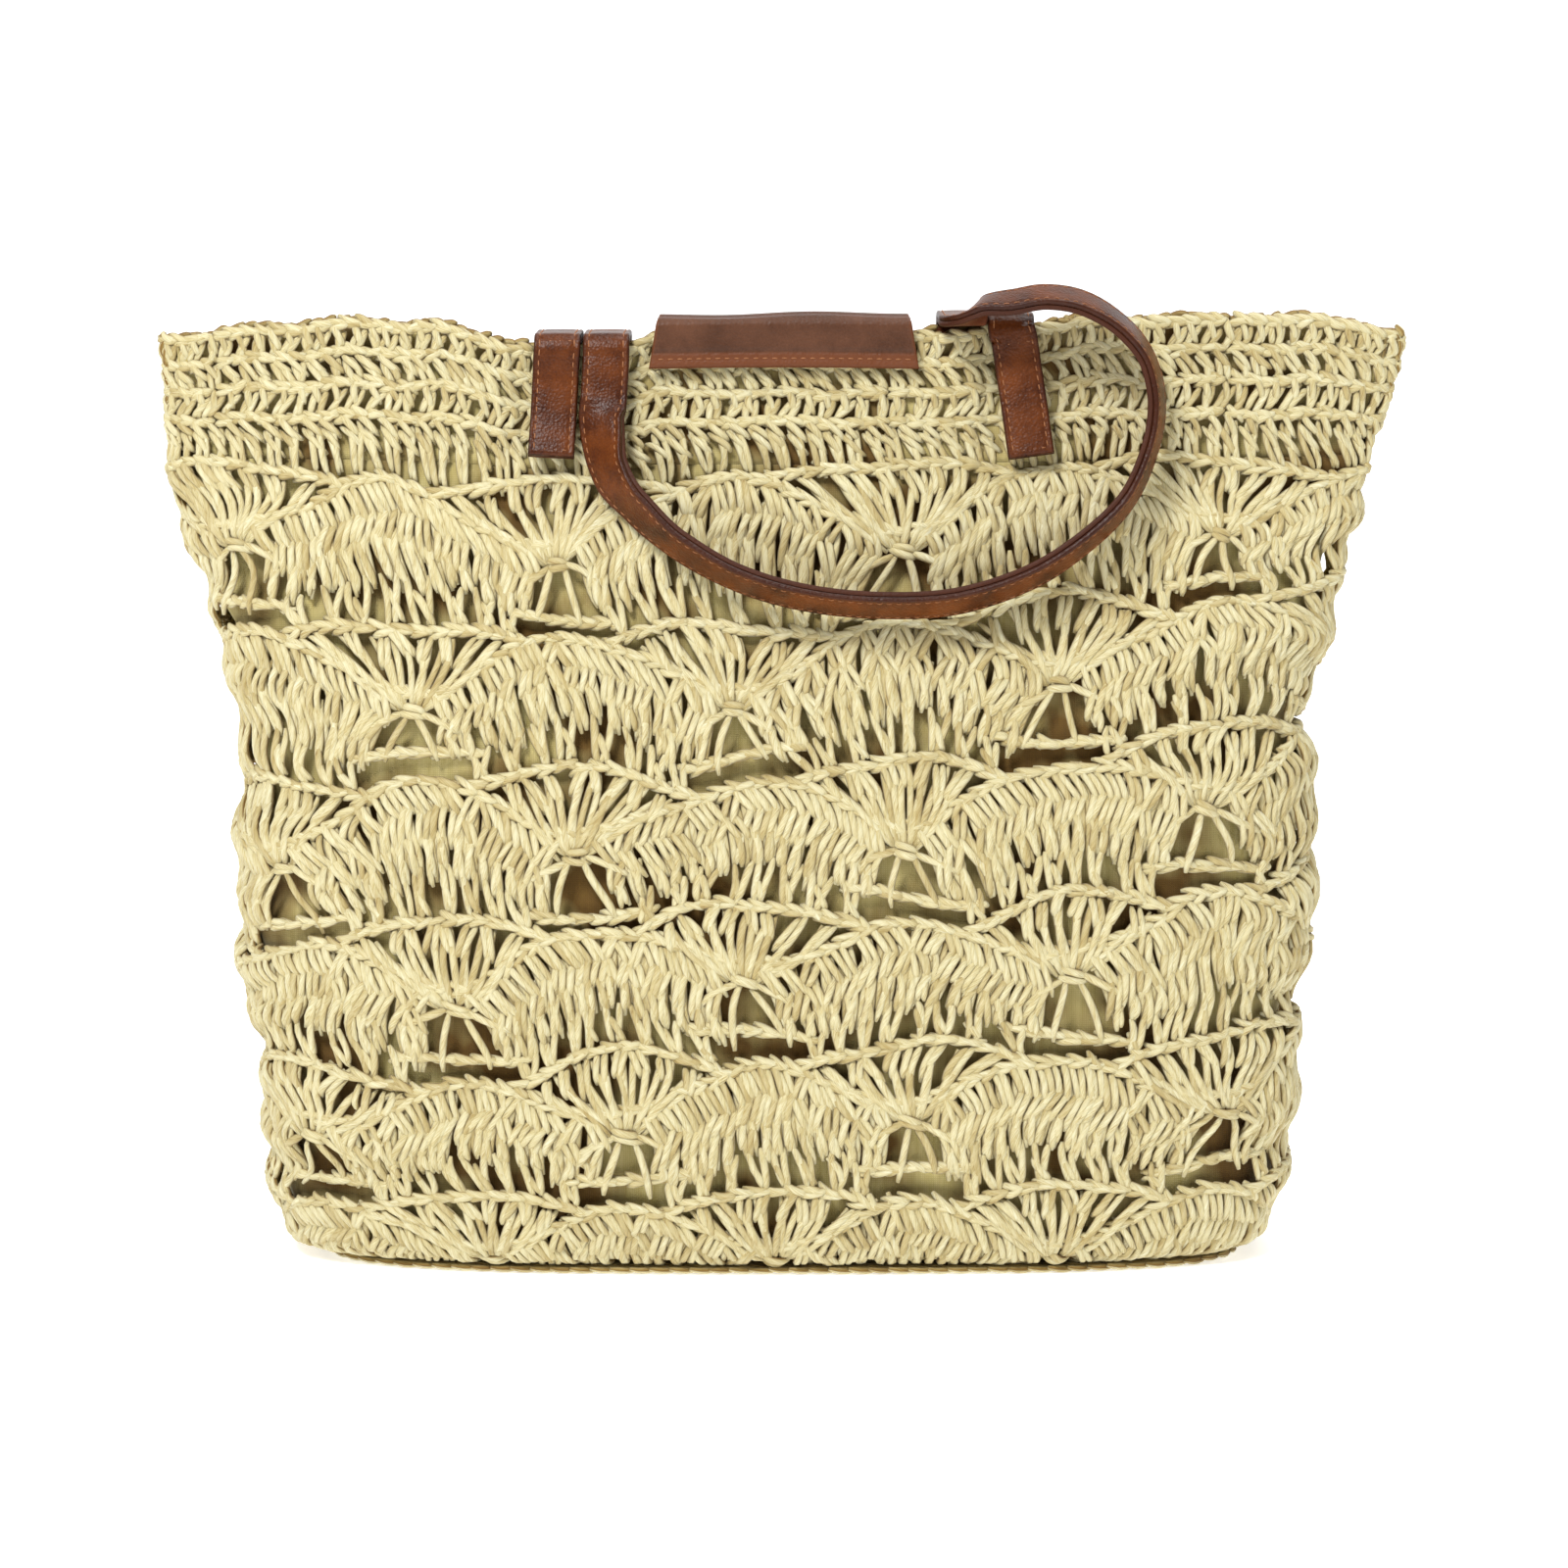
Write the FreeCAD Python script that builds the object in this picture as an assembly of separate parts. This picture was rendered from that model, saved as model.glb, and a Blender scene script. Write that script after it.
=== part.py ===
import FreeCAD, Part
import math
import os

Vector = FreeCAD.Vector

# A crocheted straw tote with a woven lining, two leather handles and a magnetic closure.
# Millimetres. Z is up, the front faces -Y, and the origin is under the middle of the base.

# Driving dimensions
RIM_HEIGHT = 332.0
CROCHET_THICKNESS = 5.0
LINING_GAP = 0.4
LINING_THICKNESS = 1.0
BASE_THICKNESS = 5.0
STRAP_WIDTH = 16.0
STRAP_THICKNESS = 4.0
LAYER_GAP = 0.2
STRAP_STAND_OFF = 0.6
FOLD_CLEARANCE = 0.9
THREAD = 0.6
THREAD_INSET = 2.0
FRONT_STRAP_X = 78.7
BACK_STRAP_X = 61.7
FOLD_Y = 14.5
TAB_DROP = 45.0
CLOSURE_HALF_WIDTH = 49.0
CLOSURE_DROP = 46.0
CLOSURE_SIDE_GAP = 0.5
CLOSURE_FOOT_GAP = 0.4
PATCH_HALF_WIDTH = 46.0
PATCH_DROP = 18.0
PATCH_THICKNESS = 1.6
MAGNET_RADIUS = 8.0
MAGNET_GAP = 0.2

HALF_WIDTH = STRAP_WIDTH / 2
HALF_THICKNESS = STRAP_THICKNESS / 2
FOLD_Z = RIM_HEIGHT + STRAP_STAND_OFF + HALF_THICKNESS

# The bag's outside: height, half width, half depth and squareness of each section
SECTIONS = [
    (0.0, 162.0, 44.0, 3.4),
    (5.0, 168.0, 49.0, 3.4),
    (24.0, 177.0, 55.0, 3.2),
    (62.0, 183.0, 57.5, 3.1),
    (120.0, 189.0, 56.0, 2.9),
    (180.0, 190.0, 50.0, 2.8),
    (225.0, 194.0, 41.0, 2.7),
    (265.0, 204.0, 29.0, 2.6),
    (297.0, 212.0, 18.0, 2.5),
    (318.0, 215.0, 12.5, 2.4),
    (334.0, 217.0, 11.5, 2.4),
]

os.makedirs("parts", exist_ok=True)


def section_value(column, z):
    """One column of the section table at height z, on a smooth curve through its rows."""
    heights = [row[0] for row in SECTIONS]
    values = [row[column] for row in SECTIONS]
    last = len(heights) - 1
    slopes = []
    for i in range(last + 1):
        low = max(i - 1, 0)
        high = min(i + 1, last)
        slopes.append((values[high] - values[low]) / (heights[high] - heights[low]))
    i = 0
    while i < last - 1 and z > heights[i + 1]:
        i += 1
    step = heights[i + 1] - heights[i]
    t = (z - heights[i]) / step
    from_low = (1 + 2 * t) * (1 - t) ** 2 * values[i] + t * (1 - t) ** 2 * step * slopes[i]
    from_high = t * t * (3 - 2 * t) * values[i + 1] - t * t * (1 - t) * step * slopes[i + 1]
    return from_low + from_high


def wall_depth(x, z):
    """How far the outside of the wall stands from the middle plane, at x and z."""
    power = section_value(3, z)
    share = min(abs(x) / section_value(1, z), 1.0)
    return section_value(2, z) * (1 - share ** power) ** (1 / power)


def section_wire(z, inset, corners=32):
    """A closed smooth outline of the bag at height z, moved in by inset."""
    half_width = section_value(1, z) - inset
    half_depth = section_value(2, z) - inset
    power = 2 / section_value(3, z)
    points = []
    for i in range(corners):
        angle = 2 * math.pi * i / corners
        x = half_width * math.copysign(abs(math.cos(angle)) ** power, math.cos(angle))
        y = half_depth * math.copysign(abs(math.sin(angle)) ** power, math.sin(angle))
        points.append(Vector(x, y, z))
    curve = Part.BSplineCurve()
    curve.interpolate(points, PeriodicFlag=True)
    return Part.Wire(curve.toShape())


def bag_solid(inset, bottom, top, count):
    """The solid inside the bag's outline, moved in by inset, between two heights."""
    heights = [bottom + (top - bottom) * i / (count - 1) for i in range(count)]
    return Part.makeLoft([section_wire(z, inset) for z in heights], True, False)


def box_between(low, high):
    """A box from its lowest corner to its highest corner."""
    return Part.makeBox(high[0] - low[0], high[1] - low[1], high[2] - low[2], Vector(*low))


def save(node, shape):
    """Write one node's STEP file and print what it holds."""
    shape.exportStep("parts/" + node + ".step")
    print(node, len(shape.Solids), round(shape.Volume), shape.isValid())


# Walls: crochet outside, woven lining inside

HINGE_HEIGHT = RIM_HEIGHT - CLOSURE_DROP
FAR = 300.0


def wall_shell(outer_inset, inner_inset, bottom, top):
    """A wall between two insets, open at its top and bottom."""
    outside = bag_solid(outer_inset, bottom, top, 24)
    inside = bag_solid(inner_inset, bottom - 1.0, top + 1.0, 24)
    return outside.cut(inside)


def split_wall(wall, top):
    """Lower wall, left rim, right rim, front flap and back flap of one wall."""
    below = box_between((-FAR, -FAR, -FAR), (FAR, FAR, HINGE_HEIGHT))
    gap_edge = CLOSURE_HALF_WIDTH + CLOSURE_SIDE_GAP
    left = box_between((-FAR, -FAR, HINGE_HEIGHT), (-gap_edge, FAR, top))
    right = box_between((gap_edge, -FAR, HINGE_HEIGHT), (FAR, FAR, top))
    foot = HINGE_HEIGHT + CLOSURE_FOOT_GAP
    front = box_between((-CLOSURE_HALF_WIDTH, -FAR, foot), (CLOSURE_HALF_WIDTH, 0, top))
    back = box_between((-CLOSURE_HALF_WIDTH, 0, foot), (CLOSURE_HALF_WIDTH, FAR, top))
    return [wall.common(region) for region in (below, left, right, front, back)]


def make_walls():
    """The crocheted walls and the lining, each in five pieces, and both bases."""
    wall_names = ("body", "rim_left", "rim_right", "flap_front", "flap_back")
    crochet = wall_shell(0.0, CROCHET_THICKNESS, BASE_THICKNESS, RIM_HEIGHT)
    for name, piece in zip(wall_names, split_wall(crochet, RIM_HEIGHT + 1)):
        save("crochet_" + name, piece)
    lining_outside = CROCHET_THICKNESS + LINING_GAP
    lining_inside = lining_outside + LINING_THICKNESS
    floor = BASE_THICKNESS + LINING_GAP
    lining_top = RIM_HEIGHT - 1.5
    lining = wall_shell(lining_outside, lining_inside, floor + LINING_THICKNESS, lining_top)
    for name, piece in zip(wall_names, split_wall(lining, RIM_HEIGHT)):
        save("lining_" + name, piece)
    save("crochet_base", bag_solid(0.0, 0.0, BASE_THICKNESS, 4))
    save("lining_base", bag_solid(lining_outside, floor, floor + LINING_THICKNESS, 2))


# Straps: two layers of leather and their stitching

LAYERS = {"leather": (LAYER_GAP / 2, HALF_THICKNESS), "backing": (-HALF_THICKNESS, -LAYER_GAP / 2)}


def strap_frames(points, normals):
    """Centre, width direction and face normal of the strap at each point of its route."""
    frames = []
    last = len(points) - 1
    for i, point in enumerate(points):
        along = points[min(i + 1, last)] - points[max(i - 1, 0)]
        along.normalize()
        face = normals[i] - along * normals[i].dot(along)
        face.normalize()
        frames.append((point, face.cross(along), face))
    return frames


def strap_bar(frames, offsets, low, high):
    """A bar that follows the strap between two offsets through it, with an edge along each
    offset across it. Its faces are flat triangles, so neighbouring bars meet exactly."""
    rows = []
    for point, side, face in frames:
        bottom = [point + side * offset + face * low for offset in offsets]
        top = [point + side * offset + face * high for offset in offsets]
        rows.append((bottom, top))
    outlines = [bottom + top[::-1] for bottom, top in (rows[0], rows[-1])]
    for (bottom, top), (far_bottom, far_top) in zip(rows, rows[1:]):
        strips = [(bottom, far_bottom), (top, far_top)]
        for end in (0, -1):
            strips.append(([bottom[end], top[end]], [far_bottom[end], far_top[end]]))
        for near, far in strips:
            for i in range(len(near) - 1):
                outlines.append([near[i], near[i + 1], far[i + 1]])
                outlines.append([near[i], far[i + 1], far[i]])
    faces = [Part.Face(Part.makePolygon(corners + corners[:1])) for corners in outlines]
    solid = Part.makeSolid(Part.makeShell(faces))
    if solid.Volume < 0:
        solid.reverse()
    return solid


THREAD_MIDDLE = HALF_WIDTH - THREAD_INSET
THREAD_SIDES = [THREAD_MIDDLE - THREAD / 2, THREAD_MIDDLE + THREAD / 2]


def strap_layer(frames, layer):
    """One leather layer over the whole route."""
    low, high = LAYERS[layer]
    offsets = THREAD_SIDES + [HALF_WIDTH]
    return strap_bar(frames, [-offset for offset in offsets[::-1]] + offsets, low, high)


def edge_threads(frames):
    """The two rows of stitching, as threads on the face near both edges."""
    threads = []
    for offsets in ([-offset for offset in THREAD_SIDES[::-1]], THREAD_SIDES):
        threads.append(strap_bar(frames, offsets, HALF_THICKNESS, HALF_THICKNESS + THREAD))
    return threads


def fold_round(x, y, outward):
    """The half-round end of a strap at a fold line, on the side that outward points to."""
    start = Vector(x - HALF_WIDTH, y, FOLD_Z)
    roll = Part.makeCylinder(HALF_THICKNESS, STRAP_WIDTH, start, Vector(1, 0, 0))
    reach = STRAP_WIDTH
    block = box_between((x - reach, y - reach, FOLD_Z), (x + reach, y + reach, FOLD_Z + reach))
    if outward.z == 0:
        far_y = y + reach * outward.y
        low_y, high_y = min(y, far_y), max(y, far_y)
        block = box_between((x - reach, low_y, FOLD_Z - reach), (x + reach, high_y, FOLD_Z + reach))
    return roll.common(block)


def tab_frames(x, side, shift):
    """The route of a tab down the wall, from the fold. side is -1 in front and 1 behind."""
    points = []
    normals = []
    for drop in (0.0, 8.0, 16.0, 24.0, 32.0, 40.0, TAB_DROP):
        z = RIM_HEIGHT - drop
        along_x = x + shift * drop / TAB_DROP
        y = wall_depth(along_x, z) + STRAP_STAND_OFF + HALF_THICKNESS
        points.append(Vector(along_x, side * max(y, FOLD_Y), z))
        normals.append(Vector(0, side, 0))
    points.insert(0, Vector(x, side * FOLD_Y, FOLD_Z))
    normals.insert(0, Vector(0, side, 0))
    return strap_frames(points, normals)


def square_to_x(frames):
    """The first frame turned so that the strap's end lies along its fold line."""
    point, side, face = frames[0]
    first = (point, Vector(math.copysign(1.0, side.x), 0, 0), face)
    return [first] + frames[1:]


def make_tab(node, x, side, shift):
    """One sewn strap end: leather, backing and its rectangle of stitching."""
    frames = square_to_x(tab_frames(x, side, shift))
    roll = fold_round(x, side * FOLD_Y, Vector(0, 0, 1))
    save(node + "_leather", strap_layer(frames, "leather").fuse(roll))
    save(node + "_backing", strap_layer(frames, "backing"))
    threads = edge_threads(frames[1:])
    edge = HALF_WIDTH - THREAD_INSET - THREAD / 2
    for low, high in ((1, 2), (-2, -1)):
        point, width, face = frames[low]
        along = frames[high][0] - point
        if low == -2:
            point, width, face = frames[-1]
            point = point - along.normalize() * (THREAD_INSET + THREAD)
        ends = [(point, width, face), (point + along.normalize() * THREAD, width, face)]
        threads.append(strap_bar(ends, [-edge, edge], HALF_THICKNESS, HALF_THICKNESS + THREAD))
    save(node + "_thread", Part.makeCompound(threads))


def make_bridges(handle, x, side):
    """The two strap stretches that lie over the rim, from the tabs to the loop."""
    reach = FOLD_Y - HALF_THICKNESS - FOLD_CLEARANCE
    solids = {"leather": [], "backing": [], "thread": []}
    for centre in (-x, x):
        points = [Vector(centre, side * reach, FOLD_Z), Vector(centre, -side * reach, FOLD_Z)]
        frames = strap_frames(points, [Vector(0, 0, 1)] * 2)
        for layer in LAYERS:
            solids[layer].append(strap_layer(frames, layer))
        solids["thread"] += edge_threads(frames)
    for layer, pieces in solids.items():
        save(handle + "_bridge_" + layer, Part.makeCompound(pieces))


def make_loop(handle, frames, rolls):
    """The free loop of one handle: leather with its two rolled ends, backing and stitching."""
    leather = [strap_layer(frames, "leather")] + rolls
    save(handle + "_loop_leather", Part.makeCompound(leather))
    save(handle + "_loop_backing", strap_layer(frames, "backing"))
    save(handle + "_loop_thread", Part.makeCompound(edge_threads(frames)))


# The back handle's loop lies on the front of the bag: x, y, height above the rim, and how
# much its face turns from the loop's outside (0) to the front (1)
BACK_LOOP_ROUTE = [
    (-61.7, -14.5, 2.6, 1.0),
    (-61.7, -14.7, -3.0, 1.0),
    (-61.8, -15.6, -9.0, 1.0),
    (-62.4, -18.6, -21.0, 1.0),
    (-63.0, -23.0, -34.0, 0.93),
    (-59.7, -31.0, -50.0, 0.8),
    (-50.8, -36.5, -61.4, 0.65),
    (-36.0, -41.5, -74.0, 0.55),
    (-15.3, -45.5, -85.0, 0.5),
    (8.0, -47.5, -91.5, 0.5),
    (34.0, -48.0, -94.0, 0.5),
    (60.0, -47.0, -92.5, 0.5),
    (85.0, -44.0, -84.5, 0.46),
    (104.0, -40.0, -72.5, 0.4),
    (118.0, -35.5, -59.0, 0.33),
    (126.0, -31.5, -42.0, 0.28),
    (128.5, -28.5, -26.0, 0.25),
    (125.0, -27.5, -11.0, 0.22),
    (116.0, -27.0, 1.5, 0.25),
    (103.0, -27.0, 10.0, 0.3),
    (90.0, -27.2, 12.5, 0.3),
    (78.5, -26.6, 10.0, 0.3),
]
BACK_LOOP_CORNER = 10.3
CORNER_START = 0.45
FLAT_SHARE = 0.85          # share of the corner's turn after which the strap lies flat


def back_loop_frames():
    """The back handle's loop, which ends in a flat turn back to its fold line."""
    points = []
    normals = []
    rim = RIM_HEIGHT
    route = [Vector(x, y, rim + z) for x, y, z, lean in BACK_LOOP_ROUTE]
    for i, point in enumerate(route):
        lean = BACK_LOOP_ROUTE[i][3]
        along = route[min(i + 1, len(route) - 1)] - route[max(i - 1, 0)]
        outside = Vector(along.z, 0, -along.x)
        outside.normalize()
        points.append(point)
        normals.append(outside * math.sqrt(1 - lean * lean) + Vector(0, -lean, 0))
    centre = Vector(BACK_STRAP_X + BACK_LOOP_CORNER, -FOLD_Y - CORNER_START, 0)
    start_z = rim + BACK_LOOP_ROUTE[-1][2]
    turns = (18, 40, 62, 90)
    for turn in turns:
        angle = math.radians(270 - turn)
        x = centre.x + BACK_LOOP_CORNER * math.cos(angle)
        y = centre.y + BACK_LOOP_CORNER * math.sin(angle)
        share = turn / turns[-1]
        descent = min(share / FLAT_SHARE, 1.0)
        ease = descent * descent * (3 - 2 * descent)
        points.append(Vector(x, y, start_z + (FOLD_Z - start_z) * ease))
        normals.append(Vector(0, -0.3 * (1 - share), 1))
    points.append(Vector(BACK_STRAP_X, -FOLD_Y, FOLD_Z))
    normals.append(Vector(0, 0, 1))
    frames = strap_frames(points, normals)
    width = Vector(1, 0, 0)
    frames[0] = (points[0], width, Vector(0, -1, 0))
    for i in (-2, -1):
        frames[i] = (points[i], -width, Vector(0, 0, 1))
    return frames


FRONT_LOOP_DROP = 143.0
FRONT_LOOP_STEPS = 14


def front_loop_frames():
    """The front handle's loop, a U that hangs behind the bag, leaning on the back wall."""
    points = []
    normals = []
    radius = FRONT_STRAP_X
    straight = FRONT_LOOP_DROP - radius
    route = [(-radius, 2.6), (-radius, -8.0), (-radius, -22.0), (-radius, -40.0)]
    for i in range(FRONT_LOOP_STEPS + 1):
        angle = math.pi * i / FRONT_LOOP_STEPS
        route.append((-radius * math.cos(angle), -straight - radius * math.sin(angle)))
    route += [(-x, z) for x, z in route[3::-1]]
    last = len(route) - 1
    for i, (x, z) in enumerate(route):
        low = route[max(i - 1, 0)]
        high = route[min(i + 1, last)]
        outside = Vector(high[1] - low[1], 0, low[0] - high[0])
        outside.normalize()
        drop = min(max((-z - 10.0) / 90.0, 0.0), 1.0)
        lean = 1.0 - 0.5 * drop * drop * (3 - 2 * drop)
        side = math.sqrt(max(1 - lean * lean, 0.0))
        stand_off = STRAP_STAND_OFF + HALF_WIDTH * side + HALF_THICKNESS + 2.0 * drop
        y = max(wall_depth(x, RIM_HEIGHT + min(z, 0.0)) + stand_off, FOLD_Y)
        points.append(Vector(x, y, RIM_HEIGHT + z))
        normals.append(outside * side + Vector(0, lean, 0))
    frames = strap_frames(points, normals)
    return frames


def make_handles():
    """Both handles: sewn tabs, bridges over the rim and free loops."""
    up = Vector(0, 0, 1)
    make_tab("front_left_tab", -FRONT_STRAP_X, -1, -2.0)
    make_tab("front_right_tab", FRONT_STRAP_X, -1, 7.0)
    make_tab("back_left_tab", -BACK_STRAP_X, 1, 1.0)
    make_tab("back_right_tab", BACK_STRAP_X, 1, -3.0)
    make_bridges("front", FRONT_STRAP_X, -1)
    make_bridges("back", BACK_STRAP_X, 1)
    left_roll = fold_round(-FRONT_STRAP_X, FOLD_Y, up)
    right_roll = fold_round(FRONT_STRAP_X, FOLD_Y, up)
    make_loop("front", front_loop_frames(), [left_roll, right_roll])
    left_roll = fold_round(-BACK_STRAP_X, -FOLD_Y, up)
    right_roll = fold_round(BACK_STRAP_X, -FOLD_Y, Vector(0, 1, 0))
    make_loop("back", back_loop_frames(), [left_roll, right_roll])


# Closure: a leather patch folded over each rim flap, with one half of a magnetic snap

PATCH_CLEARANCE = 0.5
PATCH_STEPS = 8


def patch_profile(side):
    """The patch's folded section in the YZ plane, as a closed wire at its left end."""
    outer = []
    inner = []
    inner_face = CROCHET_THICKNESS + LINING_GAP + LINING_THICKNESS + PATCH_CLEARANCE
    for i in range(PATCH_STEPS + 1):
        z = RIM_HEIGHT - PATCH_DROP * i / PATCH_STEPS
        depth = wall_depth(0.0, z)
        outer.append((depth + PATCH_CLEARANCE, z))
        inner.append((depth - inner_face, z))
    over = RIM_HEIGHT + PATCH_CLEARANCE
    under_line = [(y, z) for y, z in outer[::-1]] + [(outer[0][0], over), (inner[0][0], over)] + inner
    thick = PATCH_THICKNESS
    over_outer = [(y - thick, z) for y, z in inner[::-1]]
    over_outer += [(inner[0][0] - thick, over + thick), (outer[0][0] + thick, over + thick)]
    over_outer += [(y + thick, z) for y, z in outer]
    corners = [Vector(-PATCH_HALF_WIDTH, side * y, z) for y, z in under_line + over_outer]
    return Part.makePolygon(corners + corners[:1])


def make_closure(name, side):
    """One leather patch, its stitching, and the magnet with its backing washer."""
    length = Vector(2 * PATCH_HALF_WIDTH, 0, 0)
    save(name + "_patch", Part.Face(patch_profile(side)).extrude(length))
    thread_z = RIM_HEIGHT - PATCH_DROP + 3.0
    face = wall_depth(0.0, thread_z - THREAD) + PATCH_CLEARANCE + PATCH_THICKNESS
    near, far = sorted((side * face, side * (face + THREAD)))
    edge = PATCH_HALF_WIDTH - THREAD_INSET
    save(name + "_patch_thread", box_between((-edge, near, thread_z), (edge, far, thread_z + THREAD)))
    magnet_z = RIM_HEIGHT - 9.0
    inner_face = CROCHET_THICKNESS + LINING_GAP + LINING_THICKNESS + PATCH_CLEARANCE
    seat = wall_depth(0.0, magnet_z + MAGNET_RADIUS) - inner_face - PATCH_THICKNESS
    axis = Vector(0, side, 0)
    washer_depth = 0.8
    rim_depth = seat - MAGNET_GAP - washer_depth
    front = Vector(0, side * MAGNET_GAP, magnet_z)
    save(name + "_magnet", Part.makeCylinder(MAGNET_RADIUS, rim_depth, front, axis))
    behind = Vector(0, side * (MAGNET_GAP + rim_depth), magnet_z)
    save(name + "_washer", Part.makeCylinder(MAGNET_RADIUS - 2.0, washer_depth, behind, axis))


make_walls()
make_handles()
make_closure("front", -1)
make_closure("back", 1)
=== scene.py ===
import math

import bpy
import mathutils
import numpy as np
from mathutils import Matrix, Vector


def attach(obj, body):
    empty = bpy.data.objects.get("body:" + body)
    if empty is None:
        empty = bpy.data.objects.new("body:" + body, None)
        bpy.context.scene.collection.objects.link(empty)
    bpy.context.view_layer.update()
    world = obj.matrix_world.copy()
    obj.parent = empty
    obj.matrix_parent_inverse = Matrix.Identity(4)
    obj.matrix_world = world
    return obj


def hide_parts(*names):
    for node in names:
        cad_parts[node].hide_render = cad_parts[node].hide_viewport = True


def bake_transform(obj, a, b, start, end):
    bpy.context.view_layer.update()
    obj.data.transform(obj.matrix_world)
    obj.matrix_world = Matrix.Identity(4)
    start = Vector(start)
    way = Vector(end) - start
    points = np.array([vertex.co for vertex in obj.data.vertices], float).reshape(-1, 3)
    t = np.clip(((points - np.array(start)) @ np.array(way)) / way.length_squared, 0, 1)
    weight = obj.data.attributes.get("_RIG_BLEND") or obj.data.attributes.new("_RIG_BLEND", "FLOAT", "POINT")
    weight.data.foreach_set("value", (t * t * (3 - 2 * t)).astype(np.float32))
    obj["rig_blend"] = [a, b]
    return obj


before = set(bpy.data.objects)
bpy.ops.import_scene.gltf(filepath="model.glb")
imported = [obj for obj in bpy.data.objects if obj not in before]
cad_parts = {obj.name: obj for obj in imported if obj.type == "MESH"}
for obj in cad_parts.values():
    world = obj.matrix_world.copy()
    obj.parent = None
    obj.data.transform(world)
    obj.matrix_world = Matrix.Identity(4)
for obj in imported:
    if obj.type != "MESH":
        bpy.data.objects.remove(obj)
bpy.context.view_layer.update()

# A crocheted straw tote. The geometry is worked out in millimetres and scaled to metres when
# a mesh is made. The front faces -Y. The outline repeats the part's own section table.
MM = 0.001
RANDOM = np.random.default_rng(7)

RIM_HEIGHT = 332.0
STRAP_WIDTH = 16.0
STRAP_THICKNESS = 4.0
STRAP_STAND_OFF = 0.6
FRONT_STRAP_X = 78.7
BACK_STRAP_X = 61.7
FOLD_Y = 14.5
FOLD_Z = RIM_HEIGHT - 0.4       # the soft rim gives way a little under the straps
TAB_DROP = 45.0
HINGE_HEIGHT = 286.0
FLAP_HALF_WIDTH = 53.0
SIDES = {"front": -1, "back": 1}

# Height, half width, half depth and squareness of the bag's outline
SECTIONS = np.array([
    (0.0, 162.0, 44.0, 3.4),
    (5.0, 168.0, 49.0, 3.4),
    (24.0, 177.0, 55.0, 3.2),
    (62.0, 183.0, 57.5, 3.1),
    (120.0, 189.0, 56.0, 2.9),
    (180.0, 190.0, 50.0, 2.8),
    (225.0, 194.0, 41.0, 2.7),
    (265.0, 204.0, 29.0, 2.6),
    (297.0, 212.0, 18.0, 2.5),
    (318.0, 215.0, 12.5, 2.4),
    (334.0, 217.0, 11.5, 2.4),
])


# Curves and grids

def smooth(t):
    """Smoothstep of t, clamped to 0..1."""
    t = np.clip(t, 0.0, 1.0)
    return t * t * (3 - 2 * t)


def swell(v, middle, spread):
    """A smooth hump of height 1 round a middle."""
    return np.exp(-(((v - middle) / spread) ** 2))


def unit(vectors):
    """Vectors scaled to length 1."""
    return vectors / (np.linalg.norm(vectors, axis=-1, keepdims=True) + 1e-9)


def run_length(points):
    """How far along a line of points each point lies."""
    return np.concatenate([[0.0], np.cumsum(np.linalg.norm(np.diff(points, axis=0), axis=1))])


def sample(at, length, rows):
    """Rows of values, one for each point of a line, taken at lengths along that line."""
    return np.stack([np.interp(at, length, column) for column in rows.T], axis=-1)


def span(knots, at):
    """Which stretch between knots each place lies in, and how far along that stretch."""
    index = np.clip(np.searchsorted(knots, at, side="right") - 1, 0, len(knots) - 2)
    return index, (at - knots[index]) / (knots[index + 1] - knots[index])


def smooth_curve(knots, rows, at):
    """A smooth curve through one row of values for each knot, at places between the knots."""
    low = np.maximum(np.arange(len(knots)) - 1, 0)
    high = np.minimum(np.arange(len(knots)) + 1, len(knots) - 1)
    slopes = (rows[high] - rows[low]) / (knots[high] - knots[low])[:, None]
    index, t = span(knots, at)
    step = (knots[index + 1] - knots[index])[..., None]
    t = t[..., None]
    curve = (1 + 2 * t) * (1 - t) ** 2 * rows[index] + t * (1 - t) ** 2 * step * slopes[index]
    return curve + t * t * (3 - 2 * t) * rows[index + 1] - t * t * (1 - t) * step * slopes[index + 1]


def oval(s, c, wide, deep, power):
    """Points of a squared oval, from the sine and the cosine of the way round it."""
    x = wide * np.sign(s) * np.abs(s) ** (2 / power)
    y = deep * np.sign(c) * np.abs(c) ** (2 / power)
    return np.stack([x, y], axis=1)


def grid_quads(rows, columns, closed):
    """Faces between the points of a grid, whose last column may meet its first."""
    i = np.arange(rows - 1)[:, None] * columns
    k = np.arange(columns if closed else columns - 1)[None, :]
    n = (k + 1) % columns
    return np.stack([i + k, i + n, i + columns + n, i + columns + k], axis=-1).reshape(-1, 4)


def section_values(z):
    """Half width, half depth and squareness at heights z, on smooth curves through the table."""
    found = smooth_curve(SECTIONS[:, 0], SECTIONS[:, 1:], np.asarray(z, float))
    return [found[..., k] for k in range(3)]


def wall_depth(x, z):
    """How far the bag's outside stands from the middle plane, at x and z."""
    half_width, half_depth, power = section_values(z)
    share = np.minimum(np.abs(x) / half_width, 1.0)
    return half_depth * (1 - share ** power) ** (1 / power)


# The wall as a surface of two coordinates: column, which counts the lace's repeats round the
# bag from the middle of the front, and height.

COLUMNS = 8
HALF_ROUND = COLUMNS / 2
FLOOR_TURN = 5.0          # radius with which the wall turns under the base
YARN = 1.42
GRID_LEVELS = np.linspace(-16.0, 342.0, 120)
GRID_STEPS = 640
LACE_TOP = 306.0          # above this the close rows of the rim hold the lace in place


def front_pitch(v):
    """Width of one repeat in the middle of the front."""
    return 100.0 + 0.075 * v


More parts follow.
